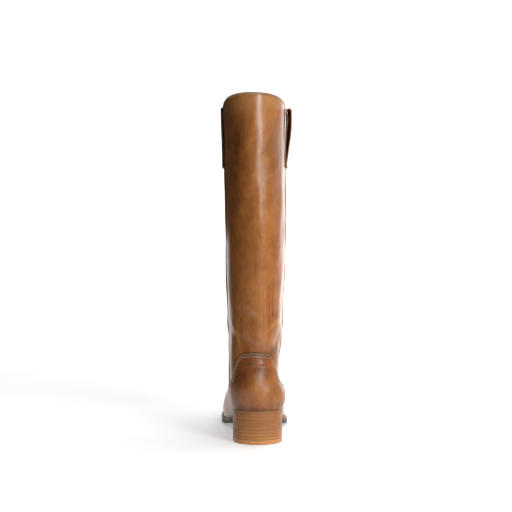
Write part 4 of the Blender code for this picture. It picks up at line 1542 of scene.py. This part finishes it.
@dataclass
class PullStrap:
    """Pull strap: a band folded just below the collar, its outer leg sewn down at the foot."""

    name: str
    node: str
    side: float
    standoff: float
    skin: Skin
    finishes: Finishes
    bulge: float = 0.0
    pinch: float = 1.0
    leg_rows: int = 60
    fold_rows: int = 22

    def path(self) -> tuple[Array, Array, Array]:
        """Distance out from the leather, rise above the collar and least distance out along
        the band's middle: up the inner leg, round the fold and down the outer leg."""
        s = self.skin.form.sizes
        fold = (s.strap + s.clearance + self.standoff) / 2.0
        top = -s.strap_below_collar - s.strap / 2.0 - fold
        end = -s.strap_below_collar - s.strap_length
        lie = s.strap / 2.0 + STRAP_LIE
        turn = np.linspace(0.0, math.pi, self.fold_rows)
        outer = np.linspace(top, end, self.leg_rows)[1:]
        stand = table_curve(STRAP_TABLE, STRAP_COLUMNS, "drop", "out")
        drop = (-s.strap_below_collar - outer) / s.strap_length
        outer_out = lie + s.strap + s.clearance
        outer_out = outer_out + self.standoff * stand(drop)
        inner = np.linspace(end, top, self.leg_rows)[:-1]
        swell = self.bulge * bell(inner - top, -0.010, 0.013)
        out = np.concatenate((lie + swell, lie + fold - fold * np.cos(turn), outer_out))
        fold_ends = (self.leg_rows, self.leg_rows + self.fold_rows)
        over = np.interp(np.arange(len(out)), fold_ends, (0.0, 1.0))
        up = np.concatenate((inner, top + fold * np.sin(turn), outer))
        return out, up, np.minimum(out, lie + s.strap * over)

    def sheet(self, across: Array, out: Array, up: Array, least: Array) -> Array:
        """Points of the band's middle face, rows along the path by places across in metres.

        The loop is pinched at its front edge, where it stands off less than at its back edge.

        Args:
            across: places across the band.
            out: distance out from the leather of each row.
            up: rise above the collar of each row.
            least: least distance out of each row.

        Returns:
            Points along the last axis.
        """
        form, s = self.skin.form, self.skin.form.sizes
        step = form.STEP
        ends = form.leather(np.array((self.side * 0.5 - step, self.side * 0.5 + step)), 1.0)
        girth = float(np.linalg.norm(ends[1] - ends[0])) / (2.0 * step)
        around, rise = np.meshgrid(self.side * 0.5 + across / girth, up)
        span = s.collar - float(form.leather(self.side * 0.5, 0.85)[2])
        edge = 0.5 * s.strap_width
        lean = mix(1.0, self.pinch, ease(self.side * across, -edge, edge))
        lie = s.strap / 2.0 + STRAP_LIE
        stand = lie + np.maximum(out[:, None] - lie, 0.0) * lean[None, :]
        stand = np.maximum(stand, least[:, None])
        points = form.leather(around, 1.0 + rise / span * 0.15)
        points[..., 2] = form.leather(around, 1.0)[..., 2] + rise
        ahead = form.leather(around + step, 1.0) - form.leather(around - step, 1.0)
        ahead[..., 2] = 0.0
        normal = unit(np.cross(ahead, np.array((0.0, 0.0, 1.0))))
        return points + normal * stand[..., None]

    def build(self) -> Piece:
        """Make the band: each row is a loop round its rounded, sewn section.

        Returns:
            The piece.
        """
        s = self.skin.form.sizes
        out, up, least = self.path()
        edge = s.strap_width / 2.0
        inset = np.array((0.0, 0.0002, 0.0006, 0.0012, 0.0018, 0.0024))
        flat = np.linspace(-edge + 0.0035, edge - 0.0035, 9)
        places = np.concatenate((-edge + inset, flat, (edge - inset)[::-1]))
        sheet = self.sheet(places, out, up, least)
        along = np.gradient(sheet, axis=0)
        side = np.gradient(sheet, axis=1)
        normal = unit(np.cross(side, along))
        half = np.full(places.shape, s.strap / 2.0)
        half = half - 0.00018 * bell(edge - np.abs(places), 0.0, 0.00025)
        groove = 0.00016 * bell(edge - np.abs(places), 0.0018, 0.0005)
        outer = sheet + normal * (half - groove)[None, :, None]
        inner = sheet - normal * (half - groove)[None, :, None]
        loop = np.concatenate((outer, inner[:, ::-1]), axis=1)
        piece = surface(self.name, loop, capped=True)
        rows, columns = loop.shape[:2]
        slots = np.zeros((rows - 1, columns))
        slots[:, (0, len(places) - 2, len(places) - 1, len(places), columns - 2, columns - 1)] = 2
        # the band's inner face takes the near-black leather: painted shade inside the loop
        slots[:, len(places) + 1 : columns - 2] = 1
        slots[: self.leg_rows - 4, (len(places) - 1, columns - 1)] = 0
        paint_faces(piece, slots, 2)
        shade = np.concatenate((np.abs(places / edge) ** 10, np.abs(places / edge) ** 10))
        set_value(piece, "tone", np.full(loop.shape[:2], 0.15))
        set_value(piece, "edge", np.broadcast_to(shade, loop.shape[:2]))
        f = self.finishes
        # the outer strap's cut edges take the pale edge as a painted highlight, the inner strap's
        # the dark edge as painted shade; both are the same leather
        rim = f.edge_with_painted_highlight if self.side > 0.0 else f.edge
        return fit_out(piece, (f.strap, f.strap_under_painted_shade, rim), (self.node,))


@dataclass
class EdgeStrip:
    """Leather strip round the foot's edge on the outsole: the welt, or the rand at the heel."""

    name: str
    node: str
    form: BootForm
    start: float
    end: float
    finish: Material
    sections: int = 360
    stitch_inset: float = 0.0024
    sewn: bool = True

    def frame(self, around: Array) -> tuple[Array, Array]:
        """Inner and outer foot of the strip at places around."""
        s = self.form.sizes
        away = self.form.normal(around, 0.0) * (0.5 * s.overlay_gap)
        inner = self.form.leather(around, 0.0) + away
        inner[..., 2] = self.form.feather(inner[..., 1])
        edge = self.form.sole_edge(around)
        return inner, np.column_stack((edge, self.form.feather(edge[:, 1])))

    def build(self) -> Piece:
        """Make the strip: each section is a loop over its top, round its edge and back.

        Returns:
            The piece.
        """
        s = self.form.sizes
        around = np.linspace(self.start, self.end, self.sections)
        inner, outer = self.frame(around)
        width = np.linalg.norm(outer - inner, axis=-1)[:, None]
        inset = np.array(WELT_INSETS)[None, :] * np.minimum(1.0, width / WELT_FULL)
        inset[:, 0] = width[:, 0]
        rise = s.welt - 0.00045 * bell(inset, 0.0, 0.00030)
        if self.sewn:
            rise = rise - 0.00045 * bell(inset, self.stitch_inset, 0.00042)
        share = 1.0 - inset / width
        top = mix(inner[:, None, :], outer[:, None, :], share[..., None])
        top[..., 2] += rise
        side = outer[:, None, :].repeat(3, axis=1)
        side[..., 2] += np.array((s.welt * 0.62, s.welt * 0.25, 0.0002))
        sideways = unit(outer - inner)[:, None, :]
        side += sideways * np.array((0.00010, 0.00010, -0.00006))[:, None]
        under = np.stack((mix(inner, outer, 0.5), inner), axis=1)
        loop = np.concatenate((top, side, under), axis=1)
        piece = surface(self.name, loop, capped=True)
        # the side and underside rows are drawn darker than the top
        side_and_under_darker = np.full((self.sections, 3), 0.9)
        edge = np.concatenate((bell(inset, 0.0, 0.0006), side_and_under_darker), axis=1)
        values = np.zeros(loop.shape[:2])
        values[:, : edge.shape[1]] = edge
        set_value(piece, "edge", values)
        return fit_out(piece, (self.finish,), (self.node,))


@dataclass
class Slab:
    """One layer of the sole or heel, with its outline set in from the sole's."""

    name: str
    node: str
    form: BootForm
    start: float
    end: float
    top: Callable[[Array], Array]
    bottom: Callable[[Array], Array]
    finish: Material
    slot: str
    inset: Callable[[Array], Array] | None = None
    middle: Callable[[Array], Array] | None = None
    rounding: float = 0.0003
    waist: float = 0.0
    stations: int = 90
    straight: int = 24

    def outline(self) -> tuple[Array, Array]:
        """Closed outline from above and the middle line beside each of its points.

        An end that is not an end of the sole is cut straight across.

        Returns:
            The outline's points and the middle line's places.
        """
        s = self.form.sizes
        inset = self.inset or (lambda y: 0.0 * y)
        middle = self.middle or self.form.sole_middle
        back = s.sole_back + float(inset(s.sole_back))
        front = s.sole_front - float(inset(s.sole_front))
        round_back, round_front = self.start <= back, self.end >= front
        quarter = 0.5 * math.pi
        turn = np.linspace(
            0.0 if round_back else quarter, math.pi if round_front else quarter, self.stations
        )
        if not (round_back or round_front):
            share = np.linspace(0.0, 1.0, self.stations)
        else:
            share = (np.cos(turn[0]) - np.cos(turn)) / (np.cos(turn[0]) - np.cos(turn[-1]))
        y = mix(max(self.start, back), min(self.end, front), share)
        half = (self.form.sole_half_width(y) - inset(y)) * round_end(y - back, s.heel_rounding)
        half = half * round_end(front - y, s.toe_rounding)
        across = np.linspace(1.0, -1.0, self.straight + 2)[1:-1]
        xs, ys, mids = [middle(y) + half], [y], [middle(y)]
        if not round_front:
            xs.append(middle(y[-1]) + across * half[-1])
            ys.append(np.full(len(across), y[-1]))
            mids.append(np.full(len(across), middle(y[-1])))
        inner = slice(-2 if round_front else None, 0 if round_back else None, -1)
        xs.append((middle(y) - half)[inner])
        ys.append(y[inner])
        mids.append(middle(y)[inner])
        if not round_back:
            xs.append(middle(y[0]) - across * half[0])
            ys.append(np.full(len(across), y[0]))
            mids.append(np.full(len(across), middle(y[0])))
        points = np.stack((np.concatenate(xs), np.concatenate(ys)), axis=-1)
        return points, np.concatenate(mids)

    def build(self) -> Piece:
        """Make the layer: rows run from the middle line over the top face, round the soft top
        edge, down the side, round the bottom edge and back to the middle line.

        Returns:
            The piece.
        """
        line, middle = self.outline()
        ahead = unit(np.roll(line, -1, axis=0) - np.roll(line, 1, axis=0))
        inward = np.stack((-ahead[:, 1], ahead[:, 0]), axis=-1)
        top, bottom = self.top(line[:, 1]), self.bottom(line[:, 1])
        soft = np.minimum(self.rounding, 0.3 * (top - bottom))
        rows = []
        for share in (0.0, 0.35, 0.68, 0.90):
            rows.append((middle + (line[:, 0] - middle) * share, line[:, 1], top))
        edge_rows = ((1.0, 0.0), (0.42, 0.20), (0.10, 0.60), (0.0, 1.0))
        for inset, dip in edge_rows:
            rows.append((*(line + inward * (soft * inset)[:, None]).T, top - soft * dip))
        for share in (0.75, 0.5, 0.25):
            hollow = self.waist * math.sin(math.pi * share)
            rows.append((*(line + inward * hollow).T, mix(bottom + soft, top - soft, share)))
        for inset, dip in edge_rows[::-1]:
            rows.append((*(line + inward * (soft * inset)[:, None]).T, bottom + soft * dip))
        for share in (0.90, 0.68, 0.35, 0.0):
            rows.append((middle + (line[:, 0] - middle) * share, line[:, 1], bottom))
        points = np.stack([np.stack(row, axis=-1) for row in rows])
        piece = surface(self.name, points, seams=True)
        places = np.empty(len(piece.data.vertices) * 3)
        piece.data.vertices.foreach_get("co", places)
        y, z = places.reshape(-1, 3)[:, 1:].T
        high = (z - self.bottom(y)) / np.maximum(self.top(y) - self.bottom(y), 1e-6)
        set_value(piece, "edge", np.clip(1.0 - 4.0 * np.minimum(high, 1.0 - high), 0.0, 1.0))
        return fit_out(piece, (self.finish,), (self.node,))


@dataclass
class Seam:
    """One run of stitches along a line that lies on the boot."""

    line: Array
    out: Array
    pitch: float
    closed: bool = False

    def places(self) -> tuple[Array, Array, Array]:
        """Centre, direction and outward direction of each stitch, at equal steps of arc."""
        line, out = self.line, self.out
        if self.closed:
            line, out = np.concatenate((line, line[:1])), np.concatenate((out, out[:1]))
        run = np.concatenate(((0.0,), np.cumsum(np.linalg.norm(np.diff(line, axis=0), axis=1))))
        count = max(int(run[-1] / self.pitch), 1)
        at = (np.arange(count) + 0.5) * run[-1] / count
        spots = np.stack([np.interp(at, run, line[:, k]) for k in range(3)], axis=-1)
        ahead = [np.interp(at + 0.4 * self.pitch, run, line[:, k]) for k in range(3)]
        behind = [np.interp(at - 0.4 * self.pitch, run, line[:, k]) for k in range(3)]
        normal = unit(np.stack([np.interp(at, run, out[:, k]) for k in range(3)], axis=-1))
        return spots, unit(np.stack(ahead, axis=-1) - np.stack(behind, axis=-1)), normal


@dataclass
class Stitches:
    """Rows of short plump stitches, with a near-black bead between each two as painted shade in the
    needle holes, as two meshes.
    """

    name: str
    seams: Sequence[Seam]
    slot: str
    thread: Material
    hole_shade: Material
    radius: float = 0.00030
    share: float = 0.56
    sink: float = 0.00002

    @staticmethod
    def _beads(
        name: str, half: Array, radius: float, spots: Array, ahead: Array, out: Array, bow: float
    ) -> Piece:
        """Mesh of many small capsules: rings of six points whose radius follows a half circle
        to a power along the length, bowed outwards in the middle.

        Args:
            name: the piece's name.
            half: half length of each capsule.
            radius: radius in the middle.
            spots: centres.
            ahead: directions along the seam.
            out: outward directions.
            bow: how far the middle stands out past the ends.

        Returns:
            The new object.
        """
        u = np.array((-0.98, -0.72, -0.25, 0.25, 0.72, 0.98))
        turn = np.arange(6) * math.pi / 3.0
        girth = radius * (1.0 - np.abs(u) ** 2.6) ** 0.5
        side = np.cross(ahead, out)
        rise = bow * (1.0 - u**2)
        along = ahead[:, None, :] * (u * half)[..., None]
        centre = spots[:, None, :] + along + out[:, None, :] * rise[..., None]
        sideways = np.cos(turn)[:, None] * side[:, None, None, :]
        ring = sideways + np.sin(turn)[:, None] * out[:, None, None, :]
        points = centre[:, :, None, :] + ring * girth[None, :, None, None]
        count, rows = len(spots), len(u)
        one = grid_faces(rows, 6, False, True)
        step = np.arange(count)[:, None, None] * rows * 6
        faces = (one[None] + step).reshape(-1, 4).tolist()
        first = np.arange(6)[::-1][None] + step[:, 0]
        last = (rows - 1) * 6 + np.arange(6)[None] + step[:, 0]
        faces += first.tolist() + last.tolist()
        return make_mesh(name, points.reshape(-1, 3), faces)

    def build(self) -> list[Piece]:
        """Make the thread and the holes.

        Returns:
            The two pieces.
        """
        parts = [seam.places() for seam in self.seams]
        spots, ahead, out = (np.concatenate([p[k] for p in parts]) for k in range(3))
        halves = [seam.pitch * self.share / 2.0 for seam in self.seams]
        half = np.repeat(halves, [len(p[0]) for p in parts])[:, None]
        draw = np.random.default_rng(5)
        spots = spots + ahead * draw.normal(0.0, 0.00006, (len(spots), 1))
        low = spots - out * self.sink
        threads = self._beads(self.name, half, self.radius, low, ahead, out, 0.55 * self.radius)
        pierced = spots + ahead * half / self.share + out * 0.00001
        between = half * (1.0 / self.share - 1.0) * 0.80
        wide = self.radius * 1.05
        holes = self._beads(f"{self.name}_holes", between, wide, pierced, ahead, out, 0.0)
        fit_out(threads, (self.thread,))
        fit_out(holes, (self.hole_shade,))
        return [threads, holes]


class Sewing:
    """All seams of the boot: where each row runs over the finished leather."""

    def __init__(self, skin: Skin, edging: Edging, finishes: Finishes) -> None:
        """Keep the surfaces that the rows lie on."""
        self.skin, self.edging, self.finishes = skin, edging, finishes

    def _seam(
        self, around: Array, level: Array, lift: float, pitch: float, closed: bool = False
    ) -> Seam:
        """Row over the leather at places around and levels."""
        line = self.skin.point(around, level, lift)
        return Seam(line, self.skin.form.normal(around, level), pitch, closed)

    def collar(self) -> list[Seam]:
        """Row just below the collar's rim."""
        form = self.skin.form
        around = np.linspace(0.0, 2.0, 400, endpoint=False)
        height = form.leather(around, 1.0)[..., 2] - COLLAR_STITCH_DROP
        return [self._seam(around, form.level_at(around, height), -0.00004, 0.0030, True)]

    def overlay(self, piece: Overlay) -> list[Seam]:
        """Rows along an overlay's top edge."""
        seams = []
        around = piece.middle + piece.reach * np.linspace(-0.97, 0.97, 400)
        top = piece.edge(around)
        low = self.skin.form.leather(around, 0.0)[..., 2] + self.skin.form.sizes.welt
        steep = piece.slope(around)
        for drop in piece.stitch_drops:
            here = np.minimum(drop * steep, 0.8 * (top - low))
            level = self.skin.form.level_at(around, top - here)
            seams.append(self._seam(around, level, piece.thickness - 0.00012, 0.0028))
        return seams

    def strip(self, piece: SideStrip) -> list[Seam]:
        """Rows along both edges of a side strip."""
        levels, middle, half = piece.run()
        lift = piece.thickness - 0.00030
        rows = (middle + half * piece.stitch_across * k for k in (-1.0, 1.0))
        return [self._seam(row, levels, lift, 0.0030) for row in rows]

    def strap(self, piece: PullStrap) -> list[Seam]:
        """Rows along both edges of a strap's outer leg and the closed box at its foot."""
        s = self.skin.form.sizes
        start = piece.leg_rows + piece.fold_rows // 2
        out, up, least = (row[start:] for row in piece.path())
        reach = s.strap_width / 2.0 - 0.0018
        places = np.linspace(-reach, reach, 41)
        sheet = piece.sheet(places, out, up, least)
        out_dir = unit(np.cross(np.gradient(sheet, axis=1), np.gradient(sheet, axis=0)))
        face = sheet + out_dir * (s.strap / 2.0 - 0.00010)
        end = int(np.argmin(np.abs(up - up[-1] - 0.0020)))
        box = int(np.argmin(np.abs(up - up[-1] - 0.0190)))
        seams = [Seam(face[:end, k], out_dir[:end, k], 0.0028) for k in (0, -1)]
        seams += [Seam(face[k], out_dir[k], 0.0028) for k in (end, box)]
        return seams

    def edge_strip(self, piece: EdgeStrip) -> list[Seam]:
        """Row along the top of the welt."""
        around = np.linspace(piece.start + 0.006, piece.end - 0.006, 600)
        inner, outer = piece.frame(around)
        width = np.linalg.norm(outer - inner, axis=-1)[:, None]
        share = piece.stitch_inset * np.minimum(1.0, width / WELT_FULL) / width
        line = mix(outer, inner, share)
        line[:, 2] += self.skin.form.sizes.welt - 0.00022
        return [Seam(line, np.broadcast_to(np.array((0.0, 0.0, 1.0)), line.shape), 0.0036)]


class Studio:
    """Pale floor that runs up to white, a white surround and soft lamps."""

    def build(self) -> None:
        """Make the floor, the surround and the lamps."""
        self._floor()
        self._surround()
        self._lamp("top_soft", (0.15, 0.10, 1.70), (0.0, 0.05, 0.25), (1.40, 1.40), 10.0)
        key = self._lamp("key_right", (0.93, -1.22, 0.60), (0.0, 0.0, 0.24), (0.80, 1.10), 15.0)
        key.visible_glossy = False
        side = self._lamp("side_right", (0.727, 1.078, 0.28), (0.03, 0.0, 0.26), (0.92, 0.90), 3.5)
        side.visible_camera = False
        self._lamp("strip_high", (0.79, -1.30, 0.72), (0.0, 0.0, 0.40), (0.15, 0.36), 4.9)
        self._lamp("strip_low", (0.52, -1.36, 0.36), (0.0, 0.0, 0.28), (0.24, 0.40), 3.0)
        self._card("flag_high", (-0.24, -0.052), (0.25, 0.25), (0.262, 0.60))

    @staticmethod
    def _card(
        name: str, across: Sequence[float], along: Sequence[float], up: Sequence[float]
    ) -> None:
        """Upright dark card at the left, unseen by the camera: keeps the leather beside it from
        mirroring the white sweep."""
        share = np.linspace(0.0, 1.0, 9)
        x, z = np.meshgrid(mix(*across, share), mix(*up, share))
        y = mix(*along, share)[None, :] + 0.01 * np.sin(12.0 * x)
        mesh = bpy.data.meshes.new(name)
        points = np.stack((x, y, z), axis=-1).reshape(-1, 3)
        mesh.from_pydata(points.tolist(), [], grid_faces(9, 9, False, False).tolist())
        card = link_object(name, mesh)
        card.visible_camera = False
        m = Shader(f"{name}_cloth", 0.9)
        stops = ((0.3, (0.030, 0.014, 0.007)), (0.7, (0.045, 0.020, 0.009)))
        mesh.materials.append(m.finish(m.ramp(m.noise(0.1), stops)))

    def _floor(self) -> None:
        """Floor: a sweep as wide as the view, level under the boot, that rises far behind it."""
        x = np.linspace(-1.0, 1.0, 41)
        along = np.linspace(0.0, 1.0, 61)
        y = mix(-0.55, 4.5, along)
        z = np.maximum(y - 2.6, 0.0) ** 2 * 0.75
        across = x[None, :] * (0.30 * (y + 1.24) + 0.12)[:, None]
        points = np.stack((across, y[:, None] + 0.0 * x, z[:, None] + 0.0 * x), axis=-1)
        faces = grid_faces(61, 41, False, False).tolist()
        mesh = bpy.data.meshes.new("studio_floor")
        mesh.from_pydata(points.reshape(-1, 3).tolist(), [], faces)
        mesh.shade_smooth()
        floor = link_object("studio_floor", mesh)
        m = Shader("floor_paper", 0.85)
        cloud = m.noise(0.9, 2.0)
        colour = m.ramp(cloud, ((0.3, (0.86, 0.86, 0.86)), (0.7, (0.88, 0.88, 0.88))))
        rise = m.maths("MULTIPLY_ADD", m.band(m.coordinate("Y"), 0.4, 2.4), 0.80, 0.34)
        m.surface.inputs["Emission Color"].default_value = (1.0, 1.0, 1.0, 1.0)
        m.link(rise, m.surface.inputs["Emission Strength"])
        mesh.materials.append(m.finish(colour))

    def _surround(self) -> None:
        """World light: white from the sides and above, darker from behind the camera."""
        world = bpy.data.worlds.new("surround")
        world.use_nodes = True
        tree = world.node_tree
        ground = tree.nodes["Background"]
        place = tree.nodes.new("ShaderNodeTexCoord")
        parts = tree.nodes.new("ShaderNodeSeparateXYZ")
        tree.links.new(place.outputs["Generated"], parts.inputs["Vector"])
        turn = tree.nodes.new("ShaderNodeMath")
        turn.operation = "ARCTAN2"
        tree.links.new(parts.outputs["X"], turn.inputs[0])
        tree.links.new(parts.outputs["Y"], turn.inputs[1])
        share = tree.nodes.new("ShaderNodeMapRange")
        share.inputs["From Min"].default_value = -math.pi
        share.inputs["From Max"].default_value = math.pi
        tree.links.new(turn.outputs[0], share.inputs["Value"])
        ramp = tree.nodes.new("ShaderNodeValToRGB")
        greys = ((0.0, 0.03), (0.385, 0.03), (0.425, 1.0), (0.745, 1.0), (0.785, 0.03), (1.0, 0.03))
        set_stops(ramp, [(spot, (grey, grey, grey)) for spot, grey in greys])
        tree.links.new(share.outputs["Result"], ramp.inputs["Fac"])
        tree.links.new(ramp.outputs["Color"], ground.inputs["Color"])
        ground.inputs["Strength"].default_value = 0.95
        bpy.context.scene.world = world

    @staticmethod
    def _lamp(
        name: str,
        place: Triple,
        aim: Triple,
        size: tuple[float, float],
        power: float,
    ) -> Piece:
        """Add a soft rectangular lamp aimed at a point and return it."""
        data = bpy.data.lights.new(name, "AREA")
        data.shape = "RECTANGLE"
        data.size, data.size_y = size
        data.energy = power
        lamp = link_object(name, data)
        lamp.location = place
        away = np.array(place) - np.array(aim)
        flat = math.hypot(away[0], away[1])
        lamp.rotation_euler = (math.atan2(flat, away[2]), 0.0, math.atan2(away[0], -away[1]))
        return lamp


def place_camera() -> None:
    """Set the camera behind the boot, level and a little above half its height."""
    data = bpy.data.cameras.new("camera")
    data.sensor_width = 36.0
    data.lens = 67.7
    camera = link_object("camera", data)
    camera.location = (-0.0464, -1.240, 0.2373)
    camera.rotation_euler = (math.radians(90.0), 0.0, math.radians(-2.05))
    bpy.context.scene.camera = camera
    bpy.context.scene.view_settings.view_transform = "Standard"


class Boot:
    """The whole boot: its form, its finishes and its sub-assemblies, built from the ground up."""

    def __init__(self, sizes: BootSizes) -> None:
        """Lay the form and the finishes."""
        self.sizes = sizes
        self.form = BootForm(sizes)
        self.skin = Skin(self.form)
        self.edging = Edging(self.form)
        self.finishes = Finishes()
        self.sewing = Sewing(self.skin, self.edging, self.finishes)

    def under(self, y: Array) -> Array:
        """Height of the outsole's underside."""
        return self.form.feather(y) - self.sizes.clearance - self.sizes.outsole

    def half_sole_top(self, y: Array) -> Array:
        """Height of the half sole's top."""
        return self.under(y) - 0.00005

    def half_sole_foot(self, y: Array) -> Array:
        """Height of the half sole's underside, thinned towards its back end."""
        s = self.sizes
        start = s.sole_front - s.half_sole_length
        skive = mix(0.35, 1.0, ease(y, start, start + s.half_sole_skive))
        return np.maximum(self.half_sole_top(y) - s.half_sole * skive, 0.0)

    def insole_inset(self, y: Array) -> Array:
        """How far the insole stands in from the sole's edge."""
        return self.form.sole_margin(y) + self.sizes.wall + 3.0 * self.sizes.clearance

    def build_heel(self) -> None:
        """Build the stacked heel on its top lift."""
        s, f = self.sizes, self.finishes
        base = s.top_lift + 0.0001
        names = [f"heel_lift_{i + 1}" for i in range(s.heel_lifts)]
        for i, name in enumerate(names):
            low, high = i / s.heel_lifts, (i + 1) / s.heel_lifts
            Slab(
                f"dressed_{name}",
                name,
                self.form,
                s.sole_back,
                s.heel_breast,
                lambda y, k=high: mix(base, self.under(y) - 0.0001, k) - 0.00002,
                lambda y, k=low: mix(base, self.under(y) - 0.0001, k),
                f.stack,
                "stack_leather",
                rounding=0.00009,
                waist=-0.00008 if i % 2 else 0.00004,
            ).build()
        Slab(
            "dressed_top_lift",
            "top_lift",
            self.form,
            s.sole_back,
            s.heel_breast,
            lambda y: s.top_lift + 0.0 * y,
            lambda y: 0.0 * y,
            f.top_lift,
            "top_lift_rubber",
            rounding=0.0005,
        ).build()

    def build_sole(self) -> None:
        """Build the half sole, the outsole, the insole, the rand and the welt."""
        s, f, form = self.sizes, self.finishes, self.form
        start = s.sole_front - s.half_sole_length
        Slab(
            "dressed_half_sole",
            "half_sole",
            form,
            start,
            s.sole_front,
            self.half_sole_top,
            self.half_sole_foot,
            f.half_sole,
            "half_sole_rubber",
            rounding=0.0005,
        ).build()
        Slab(
            "dressed_outsole",
            "outsole",
            form,
            s.sole_back,
            s.sole_front,
            lambda y: form.feather(y) - 0.00005,
            self.under,
            f.outsole,
            "sole_leather",
            rounding=0.00035,
            stations=150,
        ).build()
        inside = self.insole_inset
        Slab(
            "dressed_insole",
            "insole",
            form,
            s.sole_back + float(inside(s.sole_back)),
            s.sole_front - float(inside(s.sole_front)),
            lambda y: form.feather(y) + s.insole,
            form.feather,
            f.insole,
            "insole_leather",
            inset=inside,
            middle=form.foot_middle,
            rounding=0.0006,
            stations=120,
        ).build()
        ends = (-s.rand_end_around, s.rand_end_around)
        EdgeStrip("dressed_heel_rand", "heel_rand", form, *ends, f.rand, 240, sewn=False).build()
        ends = (s.welt_end_around, 2.0 - s.welt_end_around)
        welt = EdgeStrip("dressed_welt", "welt", form, *ends, f.welt)
        welt.build()
        rows = self.sewing.edge_strip(welt)
        leather = ("sole_leather", f.welt_thread, f.hole_shade)
        Stitches("welt_stitches", rows, *leather, 0.00042, 0.80).build()

    def build_upper(self) -> None:
        """Build the shaft and foot, the counter, the vamp and the side strips."""
        f, skin, edging, sewing = self.finishes, self.skin, self.edging, self.sewing
        leather = ("upper_leather", f.thread, f.hole_shade)
        Shell(skin, f).build()
        counter = (0.0, edging.counter_reach, edging.counter, f.counter, f.edge)
        vamp = (1.0, edging.vamp_reach, edging.vamp, f.vamp, f.edge, 300)
        for node, shape in (("counter", counter), ("vamp", vamp)):
            overlay = Overlay(f"dressed_{node}", node, skin, *shape)
            overlay.build()
            rows = sewing.overlay(overlay)
            Stitches(f"{node}_stitches", rows, *leather, 0.00046, 0.52).build()
        for side, turn in (("outer", 1.0), ("inner", -1.0)):
            strip = SideStrip(f"dressed_strip_{side}", f"side_strip_{side}", turn, skin, edging, f)
            strip.build()
            Stitches(f"strip_stitches_{side}", sewing.strip(strip), *leather, 0.00034).build()
        Stitches("collar_stitches", sewing.collar(), *leather, 0.00068, 0.48).build()

    def build_straps(self) -> None:
        """Build the two pull straps."""
        f = self.finishes
        for side, stand, loop in (
            ("outer", (1.0, 0.0058), (0.0021, 0.26)),
            ("inner", (-1.0, 0.0002), ()),
        ):
            names = (f"dressed_strap_{side}", f"pull_strap_{side}")
            strap = PullStrap(*names, *stand, self.skin, f, *loop)
            strap.build()
            rows = self.sewing.strap(strap)
            name = f"strap_stitches_{side}"
            Stitches(name, rows, "strap_leather", f.thread, f.hole_shade, 0.00034).build()


def main() -> None:
    """Build the boot, the studio and the camera in order."""
    logging.basicConfig(level=logging.INFO, format="%(message)s")
    boot = Boot(BootSizes())
    boot.build_heel()
    boot.build_sole()
    boot.build_upper()
    boot.build_straps()
    Studio().build()
    place_camera()


if __name__ == "__main__":
    main()
